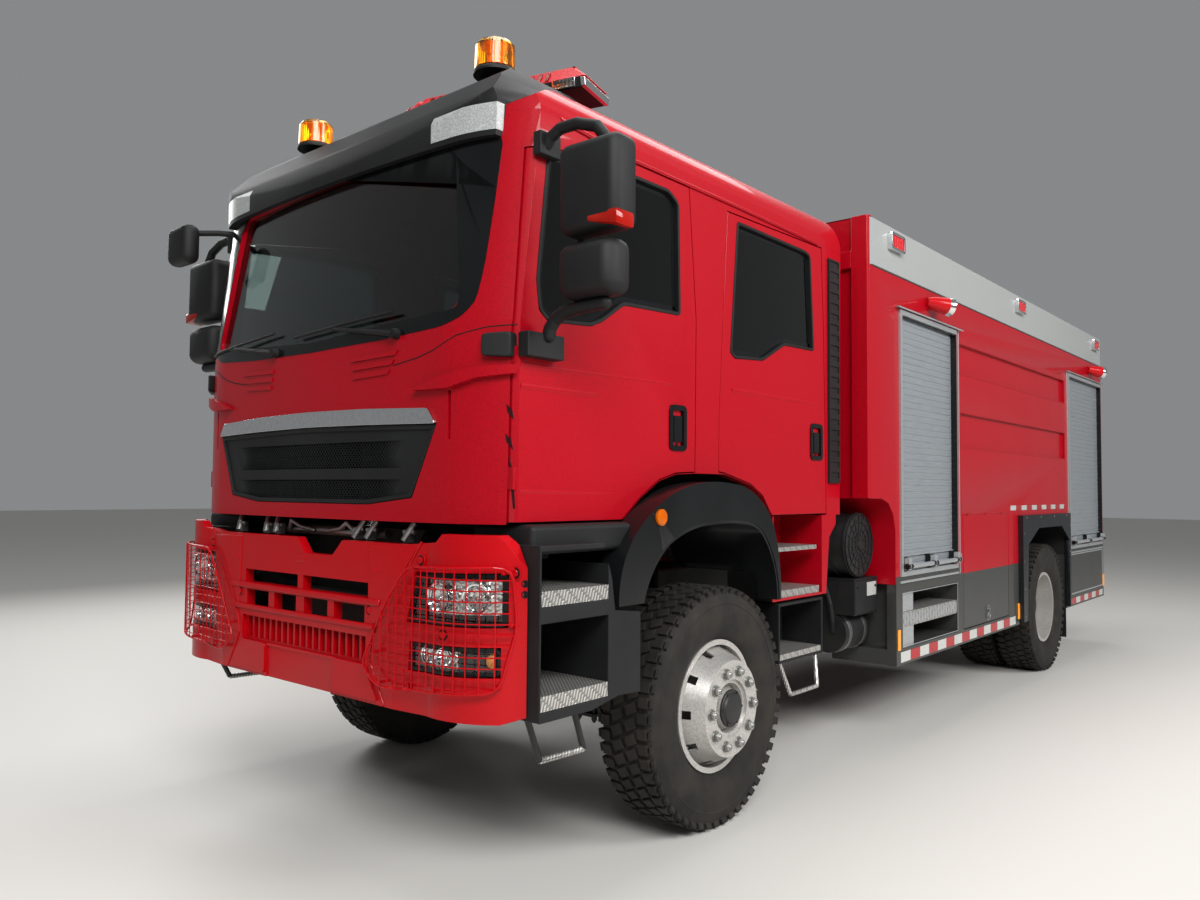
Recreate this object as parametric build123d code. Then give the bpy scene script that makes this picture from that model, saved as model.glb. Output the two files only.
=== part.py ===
from build123d import *
import math
import os

# Two-axle crew-cab fire truck, a water tender with roller-shutter lockers.
# Millimetres. +X is the truck's left side, +Y runs from the front to the back, +Z is up.
# Pieces are drawn from the front axle: y = 0 is the front wheel centre, z = 0 the ground.

# Running gear
WHEELBASE = 5040
TYRE_R = 542
TYRE_W = 296
RIM_R = 286
FLANGE_R = 298
STUD_PCD = 335
RIM_HALF = 114
FRONT_TRACK_X = 1040
TWIN_OUTER_X = 1098
TWIN_INNER_X = 762
KINGPIN_X = 875
KINGPIN_R = 20
EYE_R = 40
SPINDLE_R = 61.7
BRAKE_PLATE_X = 950
FIT = 0.3
RAIL_X = 430
RAIL_TOP = 1080
RAIL_H = 270
RAIL_W = 80
RAIL_T = 10
RAIL_FRONT = -1240
RAIL_BACK = 6960

# Cab
CAB_HALF = 1120
CAB_WALL = 50
CAB_FRONT = -1402
CAB_BACK = 1320
CAB_BOTTOM = 1392
CAB_BELT = 2140
CAB_LEAN = 0.12
CAB_TOP = 3165
TILT_Y = -1310
TILT_Z = 1100
TILT_PIN_R = 15
FLOOR_T = 40
ARCH_FLOOR = 1640
DOOR_GAP = 6
GLASS_T = 6
SCREEN_T = 12
VISOR_LIP = 2846
FLARE_OUT = CAB_HALF + 120
LOUVRE_T = 14
FIN_OUT = 26
LAMP_SUNK = 34
CORNER_FACE = -1353

# Fire body
BODY_HALF = 1250
BODY_FRONT = 1443
BODY_BACK = 7062
BODY_FLOOR = 1110
BAND_BOTTOM = 2843
BAND_TOP = 3127
BAND_WALL = 70
DECK_TOP = 2930
SKIRT_TOP = 965
SKIRT_BOTTOM = 573
SIDE_DEPTH = 420
STEP_DEPTH = 194
RAIL_BAR_BOTTOM = 479
ARCH_FRONT = 4213
ARCH_BACK = 5630
ARCH_TOP = 1328
SHUTTERS = [  # front edge, rear edge, sill, top
    (1857, 2824, 1010, 2641),
    (5746, 6994, 1010, 2648),
]
REAR_SHUTTER = (BODY_HALF - 610, 1180, 2640)  # half width, sill, top
SHUTTER_RIM = 30
SLAT_PITCH = 40
HATCH = (2949, 3948, SKIRT_BOTTOM, 1367)
LOCKER_DEPTH = 330
REAR_LAMP_IN = BODY_HALF - 130
REAR_LAMP_OUT = BODY_HALF - 15
LADDER_STILES = (-(REAR_LAMP_IN - 30), -(REAR_LAMP_IN - 360))
LADDER_STAND_OFF = 22
SIDE_LAMP_Z = (2985, 3075)
SEARCH_LAMP_Z = 2745
TOW_PIN_Y = 7030
TOW_PIN_R = 20.5

# Bumper
BUMPER_FRONT = -1427
BUMPER_BOTTOM = 692
BUMPER_TOP = 1310
BUMPER_WALL = 40
BUMPER_BACK = -1252
CORNER_SEAT = -1369 + FIT
OUTRIGGER_X = BODY_HALF - SIDE_DEPTH - 5
TAB_TOP = 1356
SPLIT_GAP = 8

# Past the body's sides, where a cut through a side may end.
CLEAR_X = BODY_HALF + 60
RAIL_OUT = RAIL_X + RAIL_W / 2

# The part's own origin is in the middle of its length, on the ground.
MOST_FORWARD = -1490
MOST_REARWARD = 7098
ORIGIN_Y = -(MOST_FORWARD + MOST_REARWARD) / 2

os.makedirs("parts", exist_ok=True)


def face_of(points):
    return make_face(Polyline(*points, close=True))


def arcs(points):
    """Arcs end to end: each takes the next three points and ends where the next one starts."""
    return [ThreePointArc(*points[i:i + 3]) for i in range(0, len(points) - 2, 2)]


def rounded(points, radius):
    face = face_of(points)
    return fillet(face.vertices(), radius)


def grown(points, amount):
    """The same outline with every edge moved out, or in when amount is negative."""
    return offset(face_of(points), amount, kind=Kind.INTERSECTION)


def along_x(face, x0, x1):
    """A (y, z) outline drawn out from x0 to x1."""
    return Pos(x0, 0, 0) * extrude(Plane.YZ * face, amount=x1 - x0, dir=(1, 0, 0))


def along_y(face, y0, y1):
    """An (x, z) outline drawn out from y0 to y1."""
    return Pos(0, y0, 0) * extrude(Plane.XZ * face, amount=y1 - y0, dir=(0, 1, 0))


def along_z(face, z0, z1):
    """An (x, y) outline drawn out from z0 to z1."""
    return Pos(0, 0, z0) * extrude(face, amount=z1 - z0, dir=(0, 0, 1))


def block(x0, x1, y0, y1, z0, z1):
    centre = Pos((x0 + x1) / 2, (y0 + y1) / 2, (z0 + z1) / 2)
    return centre * Box(abs(x1 - x0), abs(y1 - y0), abs(z1 - z0))


def rod(start, end, radius):
    """A round bar from start to end."""
    line = Vector(*end) - Vector(*start)
    return extrude(Plane(origin=start, z_dir=line) * Circle(radius), amount=line.length)


def disc_x(y, z, radius, x0, x1):
    return rod((x0, y, z), (x1, y, z), radius)


def other_side(shape):
    return mirror(shape, about=Plane.YZ)


def both(*shapes):
    return [s for shape in shapes for s in (shape, other_side(shape))]


def write(node, *shapes):
    solids = [solid for shape in shapes for solid in shape.solids()]
    placed = [Pos(0, ORIGIN_Y, 0) * solid for solid in solids]
    export_step(placed[0] if len(placed) == 1 else Compound(placed), f"parts/{node}.step")


# Wheels and tyres

def tyre():
    half = TYRE_W / 2
    bead = RIM_HALF - 12
    left = ThreePointArc((-bead, RIM_R + 13), (-half, 405), (-half + 16, 512))
    right = ThreePointArc((half - 16, 512), (half, 405), (bead, RIM_R + 13))
    edges = [
        Line((-bead, RIM_R + 0.5), (-bead, RIM_R + 13)),
        left,
        Line((-half + 16, 512), (-half + 34, TYRE_R)),
        Line((-half + 34, TYRE_R), (half - 34, TYRE_R)),
        Line((half - 34, TYRE_R), (half - 16, 512)),
        right,
        Line((bead, RIM_R + 13), (bead, RIM_R + 0.5)),
        Line((bead, RIM_R + 0.5), (-bead, RIM_R + 0.5)),
    ]
    return revolve(make_face(edges), Axis.X)


def rim(disc_x_out, disc_x_edge):
    """A disc wheel: barrel with two flanges, a coned disc with hand holes and stud nuts."""
    t = 12
    inner = RIM_R - t
    barrel = revolve(face_of([
        (-RIM_HALF, inner), (RIM_HALF, inner), (RIM_HALF, FLANGE_R), (RIM_HALF - 10, FLANGE_R),
        (RIM_HALF - 10, RIM_R), (-RIM_HALF + 10, RIM_R), (-RIM_HALF + 10, FLANGE_R), (-RIM_HALF, FLANGE_R),
    ]), Axis.X)
    way = 1 if disc_x_out > disc_x_edge else -1
    disc = revolve(face_of([
        (disc_x_edge, inner + 4), (disc_x_out, 214), (disc_x_out, 128),
        (disc_x_out - way * 14, 128), (disc_x_out - way * 14, 208), (disc_x_edge - way * 18, inner + 4),
    ]), Axis.X)
    hole = Pos(disc_x_edge, 0, 246) * (Rot(0, 90, 0) * Box(52, 38, 160))
    hole = fillet(hole.edges().filter_by(Axis.X), 18)
    for i in range(10):
        disc -= Rot(i * 36 + 18, 0, 0) * hole
    return barrel + disc


def hub(x0, x_face, cap_r, cap_out, dish=0):
    """Brake drum, hub barrel and end cap that turn with a wheel; a dish sinks the cap into the barrel."""
    foot = x_face - dish
    return revolve(face_of([
        (x0, 60), (x0, 205), (x0 + 130, 205), (x0 + 150, 140), (x_face, 140), (x_face, cap_r + 16),
        (foot, cap_r + 8), (foot, cap_r), (foot + cap_out, cap_r - 12), (foot + cap_out, 60),
    ]), Axis.X)


def nuts(x0, x1):
    ring = []
    for i in range(10):
        turn = math.radians(i * 36)
        y = STUD_PCD / 2 * math.cos(turn)
        z = STUD_PCD / 2 * math.sin(turn)
        ring.append(disc_x(y, z, 17, x0, x1))
    return ring


def front_wheel_set():
    place = Pos(FRONT_TRACK_X, 0, TYRE_R)
    wheel = rim(196, 60) + hub(BRAKE_PLATE_X + 3 - FRONT_TRACK_X, 182, 96, 44, 40)
    for nut in nuts(190, 222):
        wheel += nut
    bore = disc_x(0, 0, SPINDLE_R + FIT, -160, 174)
    return place * tyre(), place * (wheel - bore)


def rear_wheel_set():
    y, z = WHEELBASE, TYRE_R
    mid = (TWIN_OUTER_X + TWIN_INNER_X) / 2
    tyres = [Pos(x, y, z) * tyre() for x in (TWIN_INNER_X, TWIN_OUTER_X)]
    outer = Pos(TWIN_OUTER_X, y, z) * rim(mid - TWIN_OUTER_X, -60)
    inner = Pos(TWIN_INNER_X, y, z) * rim(mid - TWIN_INNER_X, 60)
    middle = Pos(mid, y, z) * (hub(-190, 60, 112, 120) - disc_x(0, 0, SPINDLE_R + FIT, -200, 150))
    wheel = outer + inner + middle
    for nut in nuts(10, 46):
        wheel += Pos(mid, y, z) * nut
    return tyres, wheel


def knuckle():
    """Steering knuckle: fork round the kingpin, brake plate, spindle and steering arm."""
    plate_x = BRAKE_PLATE_X
    plate = disc_x(0, TYRE_R, 190, plate_x - 14, plate_x)
    spindle = disc_x(0, TYRE_R, SPINDLE_R, plate_x - 14, FRONT_TRACK_X + 170)
    fork = block(KINGPIN_X - 50, plate_x, -60, 60, TYRE_R - 140, TYRE_R + 140)
    fork -= block(KINGPIN_X - 60, KINGPIN_X + EYE_R + 6, -80, 80, TYRE_R - 84, TYRE_R + 84)
    pin = rod((KINGPIN_X, 0, TYRE_R - 130), (KINGPIN_X, 0, TYRE_R + 130), KINGPIN_R)
    arm = block(KINGPIN_X - 45, KINGPIN_X - 10, 55, 200, TYRE_R - 135, TYRE_R - 100)
    return plate + spindle + fork + pin + arm


def running_gear():
    front_tyre, front_rim = front_wheel_set()
    rear_tyres, rear_rims = rear_wheel_set()
    spindle = knuckle()
    for side, place in (("left", lambda s: s), ("right", other_side)):
        write(f"tyre_front_{side}", place(front_tyre))
        write(f"wheel_front_{side}", place(front_rim))
        write(f"tyres_rear_{side}", *[place(t) for t in rear_tyres])
        write(f"wheels_rear_{side}", place(rear_rims))
        write(f"knuckle_{side}", place(spindle))


# Chassis

def leaf_spring(y, length, seat_z, frame_z, x):
    """A pack of leaves bowed between its two hangers, clamped on the axle."""
    half = length / 2
    top = ThreePointArc((y - half, frame_z), (y, seat_z + 90), (y + half, frame_z))
    low = ThreePointArc((y + half, frame_z - 22), (y, seat_z), (y - half, frame_z - 22))
    edges = [top, Line((y + half, frame_z), (y + half, frame_z - 22)), low,
             Line((y - half, frame_z - 22), (y - half, frame_z))]
    return along_x(make_face(edges), x - 42, x + 42)


def chassis():
    rail = block(RAIL_X - RAIL_W / 2, RAIL_X + RAIL_W / 2, RAIL_FRONT, RAIL_BACK, RAIL_TOP - RAIL_H, RAIL_TOP)
    rail -= block(RAIL_X - RAIL_W / 2 - 1, RAIL_X + RAIL_W / 2 - RAIL_T, RAIL_FRONT - 1, RAIL_BACK + 1,
                  RAIL_TOP - RAIL_H + RAIL_T, RAIL_TOP - RAIL_T)
    frame = rail + other_side(rail)
    inner = RAIL_X + RAIL_W / 2 - RAIL_T
    for y in (RAIL_FRONT, 1180, 2400, 3600, 4500, 5600, RAIL_BACK - 60):
        frame += block(-inner, inner, y, y + 60, RAIL_TOP - 130, RAIL_TOP - RAIL_T)
    # The bumper beam runs across in front of the rails with an arm to each corner.
    back = BUMPER_FRONT + BUMPER_WALL
    frame += block(-560, 560, back + 60, RAIL_FRONT, 760, 900)
    frame += block(-470, 470, RAIL_FRONT, RAIL_FRONT + 60, 760, 960)
    for x in (-380, 380):
        frame += block(x - 40, x + 40, back + FIT, back + 60, 770, 860)
    for way in (1, -1):
        frame += block(way * 460, way * 820, RAIL_FRONT, RAIL_FRONT + 80, 740, 830)
        frame += block(way * 740, way * 820, CORNER_SEAT, RAIL_FRONT + 80, 740, 830)
        # Two ears and a pin carry the cab's front arm.
        ear = face_of([(RAIL_FRONT + 60, 985), (RAIL_FRONT + 60, 1075), (TILT_Y + 25, TILT_Z + 28),
                       (TILT_Y - 28, TILT_Z + 20), (TILT_Y - 28, TILT_Z - 25)])
        frame += along_x(ear, way * 462, way * 492) + along_x(ear, way * 538, way * 560)
        frame += disc_x(TILT_Y, TILT_Z, TILT_PIN_R, way * 462, way * 560)
        # A post behind carries the back of the cab.
        frame += block(way * 390, way * 470, 1180, 1260, RAIL_TOP, CAB_BOTTOM + 4 - FIT)
    # Outriggers carry the body floor on the rails.
    for y in (1900, 2880, 4060, 5660, 6900):
        frame += block(-OUTRIGGER_X, OUTRIGGER_X, y, y + 80, RAIL_TOP, BODY_FLOOR - FIT)
    write("chassis_frame", frame)

    engine = block(-390, 390, -760, 420, 640, 1500) - block(-391, -250, -761, 421, 639, 900)
    engine -= block(250, 391, -761, 421, 639, 900)
    web = RAIL_OUT - RAIL_T - FIT
    gearbox = rod((0, 420, 880), (0, 1150, 860), 240)
    gearbox += block(-web, web, 250, 330, RAIL_TOP - RAIL_H + RAIL_T + FIT, 890)
    radiator = block(-380, 380, -1100, -1000, 760, RAIL_TOP + FIT)
    radiator += block(-450, 450, -1100, -1000, RAIL_TOP + FIT, 1345)
    tray = block(-300, 300, -1000, -760, 930, 1000)
    write("power_unit", engine + gearbox + tray + radiator)

    beam_z = TYRE_R
    axle = block(-620, 620, -62, 62, beam_z - 130, beam_z - 20)
    for way in (1, -1):
        axle += block(way * 600, way * KINGPIN_X, -40, 40, beam_z - 78, beam_z + 78)
        axle += rod((way * KINGPIN_X, 0, beam_z - 78), (way * KINGPIN_X, 0, beam_z + 78), EYE_R)
        axle -= rod((way * KINGPIN_X, 0, beam_z - 79), (way * KINGPIN_X, 0, beam_z + 79), KINGPIN_R + FIT)
        axle += block(way * 385, way * 475, -90, 90, beam_z - 30, beam_z + 45)
        axle += leaf_spring(0, 1500, beam_z + 30, RAIL_TOP - RAIL_H - 60, way * RAIL_X)
        for y in (-750, 750):
            axle += block(way * 392, way * 468, y - 45, y + 45, RAIL_TOP - RAIL_H - 82, RAIL_TOP - RAIL_H - FIT)
    write("front_axle", axle)

    y, z = WHEELBASE, TYRE_R
    rear = disc_x(y, z, 75, -705, 705) + Pos(0, y, z) * Sphere(230)
    rear += rod((0, y, z), (0, y - 420, z + 60), 70)
    rear += rod((0, y - 410, z + 60), (0, 1155, 860), 55)
    for way in (1, -1):
        rear += leaf_spring(y, 1500, z + 70, RAIL_TOP - RAIL_H - 60, way * RAIL_X)
        for end in (-750, 750):
            rear += block(way * 392, way * 468, y + end - 45, y + end + 45,
                          RAIL_TOP - RAIL_H - 82, RAIL_TOP - RAIL_H - FIT)
    spindle = disc_x(y, z, SPINDLE_R, 705, 1030) + disc_x(y, z, SPINDLE_R, -1030, -705)
    write("rear_axle", rear + spindle)


# Bumper, lamps and steps

def bumper_plan(inset):
    """The bumper's outline from above, rounding back to the wheels at both ends."""
    front = BUMPER_FRONT + inset
    side = 1192 - inset
    edges = [
        Line((-side, -1120), (-side, -1230)),
        ThreePointArc((-side, -1230), (-1090 + inset * 0.7, -1350 + inset * 0.7), (-820, front + 18)),
        Line((-820, front + 18), (-640, front)),
        Line((-640, front), (640, front)),
        Line((640, front), (820, front + 18)),
        ThreePointArc((820, front + 18), (1090 - inset * 0.7, -1350 + inset * 0.7), (side, -1230)),
        Line((side, -1230), (side, -1120)),
        Line((side, -1120), (-side, -1120)),
    ]
    return make_face(edges)


# Lamp openings in the left corner of the bumper, seen from the front (x, z).
LAMP_OPENINGS = [
    [(712, 1022), (1140, 1030), (1140, 1224), (758, 1212)],
    [(724, 845), (1122, 855), (1122, 962), (730, 954)],
]
# The joint between the bumper's middle and its corner, seen from the front.
BUMPER_JOINT = [(792, 1330), (514, 950), (492, 860), (596, 680)]


def bumper():
    """Middle panel with slots and a barred air intake, and a rounded lamp corner on each side."""
    shell = along_z(bumper_plan(0), 600, 1500) - along_z(bumper_plan(BUMPER_WALL), 599, 1501)
    shell -= block(-1300, 1300, BUMPER_BACK, -1000, 500, 1600)
    front_view = face_of([
        (-1192, 720), (-1120, BUMPER_BOTTOM), (1120, BUMPER_BOTTOM), (1192, 720), (1192, 1215), (1130, 1332),
        (1110, TAB_TOP), (905, TAB_TOP), (870, 1325), (700, BUMPER_TOP), (300, BUMPER_TOP), (230, 1245),
        (30, 1245), (-30, BUMPER_TOP), (-700, BUMPER_TOP), (-870, 1325), (-905, TAB_TOP), (-1110, TAB_TOP),
        (-1130, 1332), (-1192, 1215),
    ])
    shell &= along_y(front_view, -1500, -1000)
    front, behind = BUMPER_FRONT - 60, BUMPER_FRONT + 120
    upper_slots = [(-451, -20, 1093, 1152), (20, 480, 1093, 1152)]
    lower_slots = [(-435, -250, 985, 1062), (-205, -30, 985, 1062), (30, 205, 985, 1062), (250, 460, 985, 1062)]
    for x0, x1, z0, z1 in upper_slots + lower_slots:
        shell -= block(x0, x1, front, behind, z0, z1)
    # The intake's bars stand back between the middle panel and the lower apron.
    shell -= block(-470, 470, front, BUMPER_FRONT + 20, 838, 945)
    for i in range(19):
        x = -432 + i * 48
        shell -= block(x - 17, x + 17, front, behind, 846, 938)
    shell -= block(-255, 245, front, BUMPER_FRONT + 7, 600, 826)
    left_joint = BUMPER_JOINT + [(x + SPLIT_GAP, z) for x, z in reversed(BUMPER_JOINT)]
    joint = along_y(face_of(left_joint), -1500, -1000)
    shell = shell - joint - other_side(joint)
    for opening in LAMP_OPENINGS:
        hole = along_y(face_of(opening), -1500, BUMPER_BACK + 10)
        shell = shell - hole - other_side(hole)
    write("front_bumper", shell)


def lamp_unit(opening, inset, depth):
    """The slice of the bumper's own curve that fills one lamp opening."""
    low = min(z for x, z in opening)
    top = max(z for x, z in opening)
    ring = along_z(bumper_plan(inset), low, top) - along_z(bumper_plan(inset + depth), low - 1, top + 1)
    return ring & along_y(grown(opening, -FIT), -1500, BUMPER_BACK)


def lamps():
    units = []
    for opening in LAMP_OPENINGS:
        units.append(lamp_unit(opening, 14, 70))
    write("headlamps", *both(*units))
    # Each guard is one grid of round wires bent along the lamp housing.
    guard = None
    for z in range(800, 1260, 50):
        hoop = along_z(bumper_plan(-14), z - 3, z + 3) - along_z(bumper_plan(-8), z - 4, z + 4)
        hoop &= block(690, 1210, -1500, BUMPER_BACK - 3, z - 5, z + 5)
        guard = hoop if guard is None else guard + hoop
    for x in range(720, 1180, 50):
        bar = along_z(bumper_plan(-14), 800, 1253) - along_z(bumper_plan(-8), 799, 1254)
        guard += bar & block(x - 3, x + 3, -1500, -1200, 797, 1253)
    for x, z in ((720, 1250), (1170, 1250), (720, 800), (1170, 800)):
        stud = along_z(bumper_plan(-10), z - 6, z + 6) - along_z(bumper_plan(-FIT), z - 7, z + 7)
        guard += stud & block(x - 6, x + 6, -1500, BUMPER_BACK - 3, z - 8, z + 8)
    write("lamp_guards", *both(guard))


UPPER_STEP = 1105
LOWER_STEP = 738
CONSOLE_BOTTOM = 700
STEP_BOX_BOTTOM = 640


def steps():
    """Black consoles behind the bumper, with a tread recess, and the rear-door step boxes."""
    front = BUMPER_BACK + 4
    outline = face_of([(front, 1321), (front, CONSOLE_BOTTOM), (-960, CONSOLE_BOTTOM), (-805, 730), (-672, 723),
                       (-672, 1040), (-830, 1060), (-850, 1180), (-900, 1321)])
    console = along_x(outline, 830, 1238)
    console -= block(868, 1300, front + 10, -872, UPPER_STEP, 1300)
    console -= block(868, 1300, front + 10, -872, LOWER_STEP, UPPER_STEP - 60)
    console -= block(820, 1062, -860, -600, 500, 1400)
    console += block(RAIL_OUT + FIT, 832, -1140, -1060, 900, 980)
    low = block(860, 1130, 611, 1090, STEP_BOX_BOTTOM, 945) - block(880, 1140, 625, 1076, 654, 930)
    low += block(RAIL_OUT + FIT, 860, 700, 760, 850, 930)
    write("front_steps", *both(console, low))
    treads = []
    for z in (UPPER_STEP, LOWER_STEP):
        treads.append(block(868 + FIT, 1236, front + 10 + FIT, -872 - FIT, z + FIT, z + 55))
    treads.append(block(885, 1125, 626, 1075, 654 + FIT, 684))
    stirrup = rod((1150, -1225, 720), (1130, -1130, 530), 12) + rod((1130, -1130, 530), (1130, -890, 525), 12)
    stirrup += rod((1130, -890, 525), (1150, -980, 720), 12)
    stirrup -= block(1000, 1300, -1400, -700, CONSOLE_BOTTOM - FIT, 800)
    hoop = rod((1105, 645, 655), (1150, 690, 480), 11) + rod((1150, 690, 480), (1150, 980, 480), 11)
    hoop += rod((1150, 980, 480), (1105, 1040, 655), 11)
    hoop -= block(1000, 1300, 500, 1200, STEP_BOX_BOTTOM - FIT, 700)
    write("step_treads", *both(*treads, stirrup, hoop))


def wheel_arches():
    """A mudguard barrel over each front wheel with its flared outer lip."""
    outer = [(-812, 1070), (-772, 1258), (-668, 1384), (-492, 1494), (-287, 1550), (-140, 1561), (7, 1553),
             (229, 1488), (365, 1361), (423, 1185), (438, 994)]
    inner = [(424, 994), (384, 1176), (264, 1334), (205, 1362), (140, 1377), (-15, 1388), (-167, 1383),
             (-340, 1361), (-486, 1305), (-596, 1205), (-664, 1070)]
    under = [(-650, 1070), (-584, 1197), (-478, 1294), (-335, 1348), (-167, 1369), (-15, 1374), (138, 1363),
             (201, 1349), (255, 1322), (371, 1170), (410, 994)]
    lip = arcs(outer) + [Line(outer[-1], inner[0])] + arcs(inner) + [Line(inner[-1], outer[0])]
    flare = along_x(make_face(lip), CAB_HALF + DOOR_GAP, FLARE_OUT)
    sheet = arcs(inner) + [Line(inner[-1], under[0])] + arcs(under) + [Line(under[-1], inner[0])]
    barrel = along_x(make_face(sheet), 640, FLARE_OUT - 4)
    # The barrel stops above the tyre's top at the back, so that the steered wheel swings under it.
    barrel -= block(600, CAB_HALF + DOOR_GAP, 0, 500, 900, 1120)
    arch = flare + barrel
    arch += block(RAIL_OUT + FIT, 700, -650, -610, 1040, 1075) + block(650, 700, -668, -610, 1040, 1170)
    arch += block(RAIL_OUT + FIT, 700, 370, 400, 1122, 1150)
    arch += block(RAIL_OUT + FIT, 520, 370, 400, 1000, 1150)
    lamp = disc_x(-548, 1410, 30, FLARE_OUT, FLARE_OUT + 12)
    write("wheel_arches", *both(arch + lamp))


def side_equipment():
    """What hangs on the rails behind the cab: air cleaner, reservoirs, silencer and fuel tank."""
    drum = disc_x(1590, 1207, 185, 720, BODY_HALF - 140)
    drum += block(RAIL_OUT + FIT, 760, 1500, 1580, 1010, 1090)
    reservoir = rod((960, 1480, 690), (960, 1800, 690), 120)
    box = block(900, BODY_HALF - 120, 1480, 1790, 800, 1005)
    pieces = drum + box + reservoir
    pieces += block(930, 990, 1500, 1560, 680, 810) + block(RAIL_OUT + FIT, 910, 1600, 1680, 830, 900)
    tank_out = BODY_HALF - STEP_DEPTH - 16
    tank = rounded([(-tank_out, 590), (-600, 590), (-600, 900), (-tank_out, 900)], 60)
    tank = along_y(tank, 1960, 2740) + block(-700, -(RAIL_OUT + FIT), 2100, 2180, 830, 880)
    silencer = rod((-900, 1480, 760), (-900, 1800, 760), 200)
    silencer += block(-760, -(RAIL_OUT + FIT), 1600, 1680, 830, 900)
    write("side_equipment", pieces, tank, silencer)


# Cab

def cab_plan(inset):
    """The cab from above: a gently bowed front, rounded corners and straight sides."""
    half = CAB_HALF - inset
    front = CAB_FRONT + inset
    knee = front + 30
    edges = [
        Line((-half, CAB_BACK + 300), (-half, -1245 + inset * 0.4)),
        ThreePointArc((-half, -1245 + inset * 0.4), (-1015 + inset * 0.7, -1312 + inset * 0.75), (-780, knee)),
        ThreePointArc((-780, knee), (0, front), (780, knee)),
        ThreePointArc((780, knee), (1015 - inset * 0.7, -1312 + inset * 0.75), (half, -1245 + inset * 0.4)),
        Line((half, -1245 + inset * 0.4), (half, CAB_BACK + 300)),
        Line((half, CAB_BACK + 300), (-half, CAB_BACK + 300)),
    ]
    return make_face(edges)


def cab_solid(inset):
    """The cab's whole outer form, or the hollow inside it when inset by the wall."""
    bottom = CAB_BOTTOM if inset == 0 else CAB_BOTTOM - 10
    low = along_z(cab_plan(inset), bottom, CAB_BELT)
    rise = CAB_TOP + 200 - CAB_BELT
    high = Pos(0, 0, CAB_BELT) * extrude(cab_plan(inset), amount=rise, dir=(0, CAB_LEAN, 1))
    # The slanted draw lengthens with its lean, so it is cut off level above the roof.
    body = low + (high & block(-1300, 1300, -1500, 1700, CAB_BELT - 1, CAB_TOP + 100))
    back = CAB_BACK - inset
    side = face_of([
        (-1500, bottom), (back, bottom), (back + 20, 2900 - inset), (back, 3105 - inset),
        (553, CAB_TOP - inset), (-590, 3158 - inset), (-918, 3125 - inset), (-1080, 3060 - inset),
        (-1300, 2925 - inset), (-1500, 2925 - inset),
    ])
    half = CAB_HALF - inset
    front_edges = [
        Line((-half, bottom), (half, bottom)),
        Line((half, bottom), (half, 2900)),
        ThreePointArc((half, 2900), (1070 - inset * 0.8, 3060 - inset * 0.5), (960, 3130 - inset)),
        ThreePointArc((960, 3130 - inset), (0, 3185 - inset), (-960, 3130 - inset)),
        ThreePointArc((-960, 3130 - inset), (-1070 + inset * 0.8, 3060 - inset * 0.5), (-half, 2900)),
        Line((-half, 2900), (-half, bottom)),
    ]
    return body & along_x(side, -1300, 1300) & along_y(make_face(front_edges), -1600, 1700)


FRONT_DOOR = [(-1190, 2795), (-1258, 2118), (-1265, 1401), (-655, 1401), (-529, 1496), (-402, 1568), (-278, 1600),
              (-133, 1607), (-127, 2301), (-187, 2895), (-560, 2895)]
REAR_DOOR = [(139, 2862), (71, 1854), (69, 1612), (117, 1607), (351, 1559), (468, 1502), (559, 1401),
             (1150, 1401), (1124, 2426), (1098, 2882)]
FRONT_WINDOW = [(-1112, 2812), (-1166, 2300), (-1149, 2187), (-1098, 2150), (-855, 2167), (-783, 2196), (-648, 2284),
                (-247, 2300), (-262, 2806), (-340, 2850), (-591, 2848)]
REAR_WINDOW = [(223, 2836), (162, 2184), (204, 2160), (469, 2179), (685, 2284), (1011, 2292), (972, 2815), (918, 2832)]
GUTTER = [(-1500, 2950), (-1060, 2950), (-592, 2914), (191, 2914), (1500, 2890)]
WINDSCREEN = [(-905, 2190), (0, 2140), (905, 2190), (800, 2845), (0, 2860), (-800, 2845)]
SCREEN_CORNER = 50
GRILLE = [(-810, 1766), (-745, 1824), (0, 1842), (745, 1824), (810, 1766), (680, 1484), (420, 1455), (-420, 1455),
          (-680, 1484)]


def windscreen():
    """One bowed sheet of laminated glass that leans back with the front of the cab."""
    face_y = CAB_FRONT + 14
    half = 930
    bow = 57
    sheet = make_face([
        ThreePointArc((-half, face_y + bow), (0, face_y), (half, face_y + bow)),
        Line((half, face_y + bow), (half, face_y + bow + SCREEN_T)),
        ThreePointArc((half, face_y + bow + SCREEN_T), (0, face_y + SCREEN_T), (-half, face_y + bow + SCREEN_T)),
        Line((-half, face_y + bow + SCREEN_T), (-half, face_y + bow)),
    ])
    leaning = Pos(0, 0, CAB_BELT - 10) * extrude(sheet, amount=900, dir=(0, CAB_LEAN, 1))
    return leaning & along_y(rounded(WINDSCREEN, SCREEN_CORNER), -1600, -1000)


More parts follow.
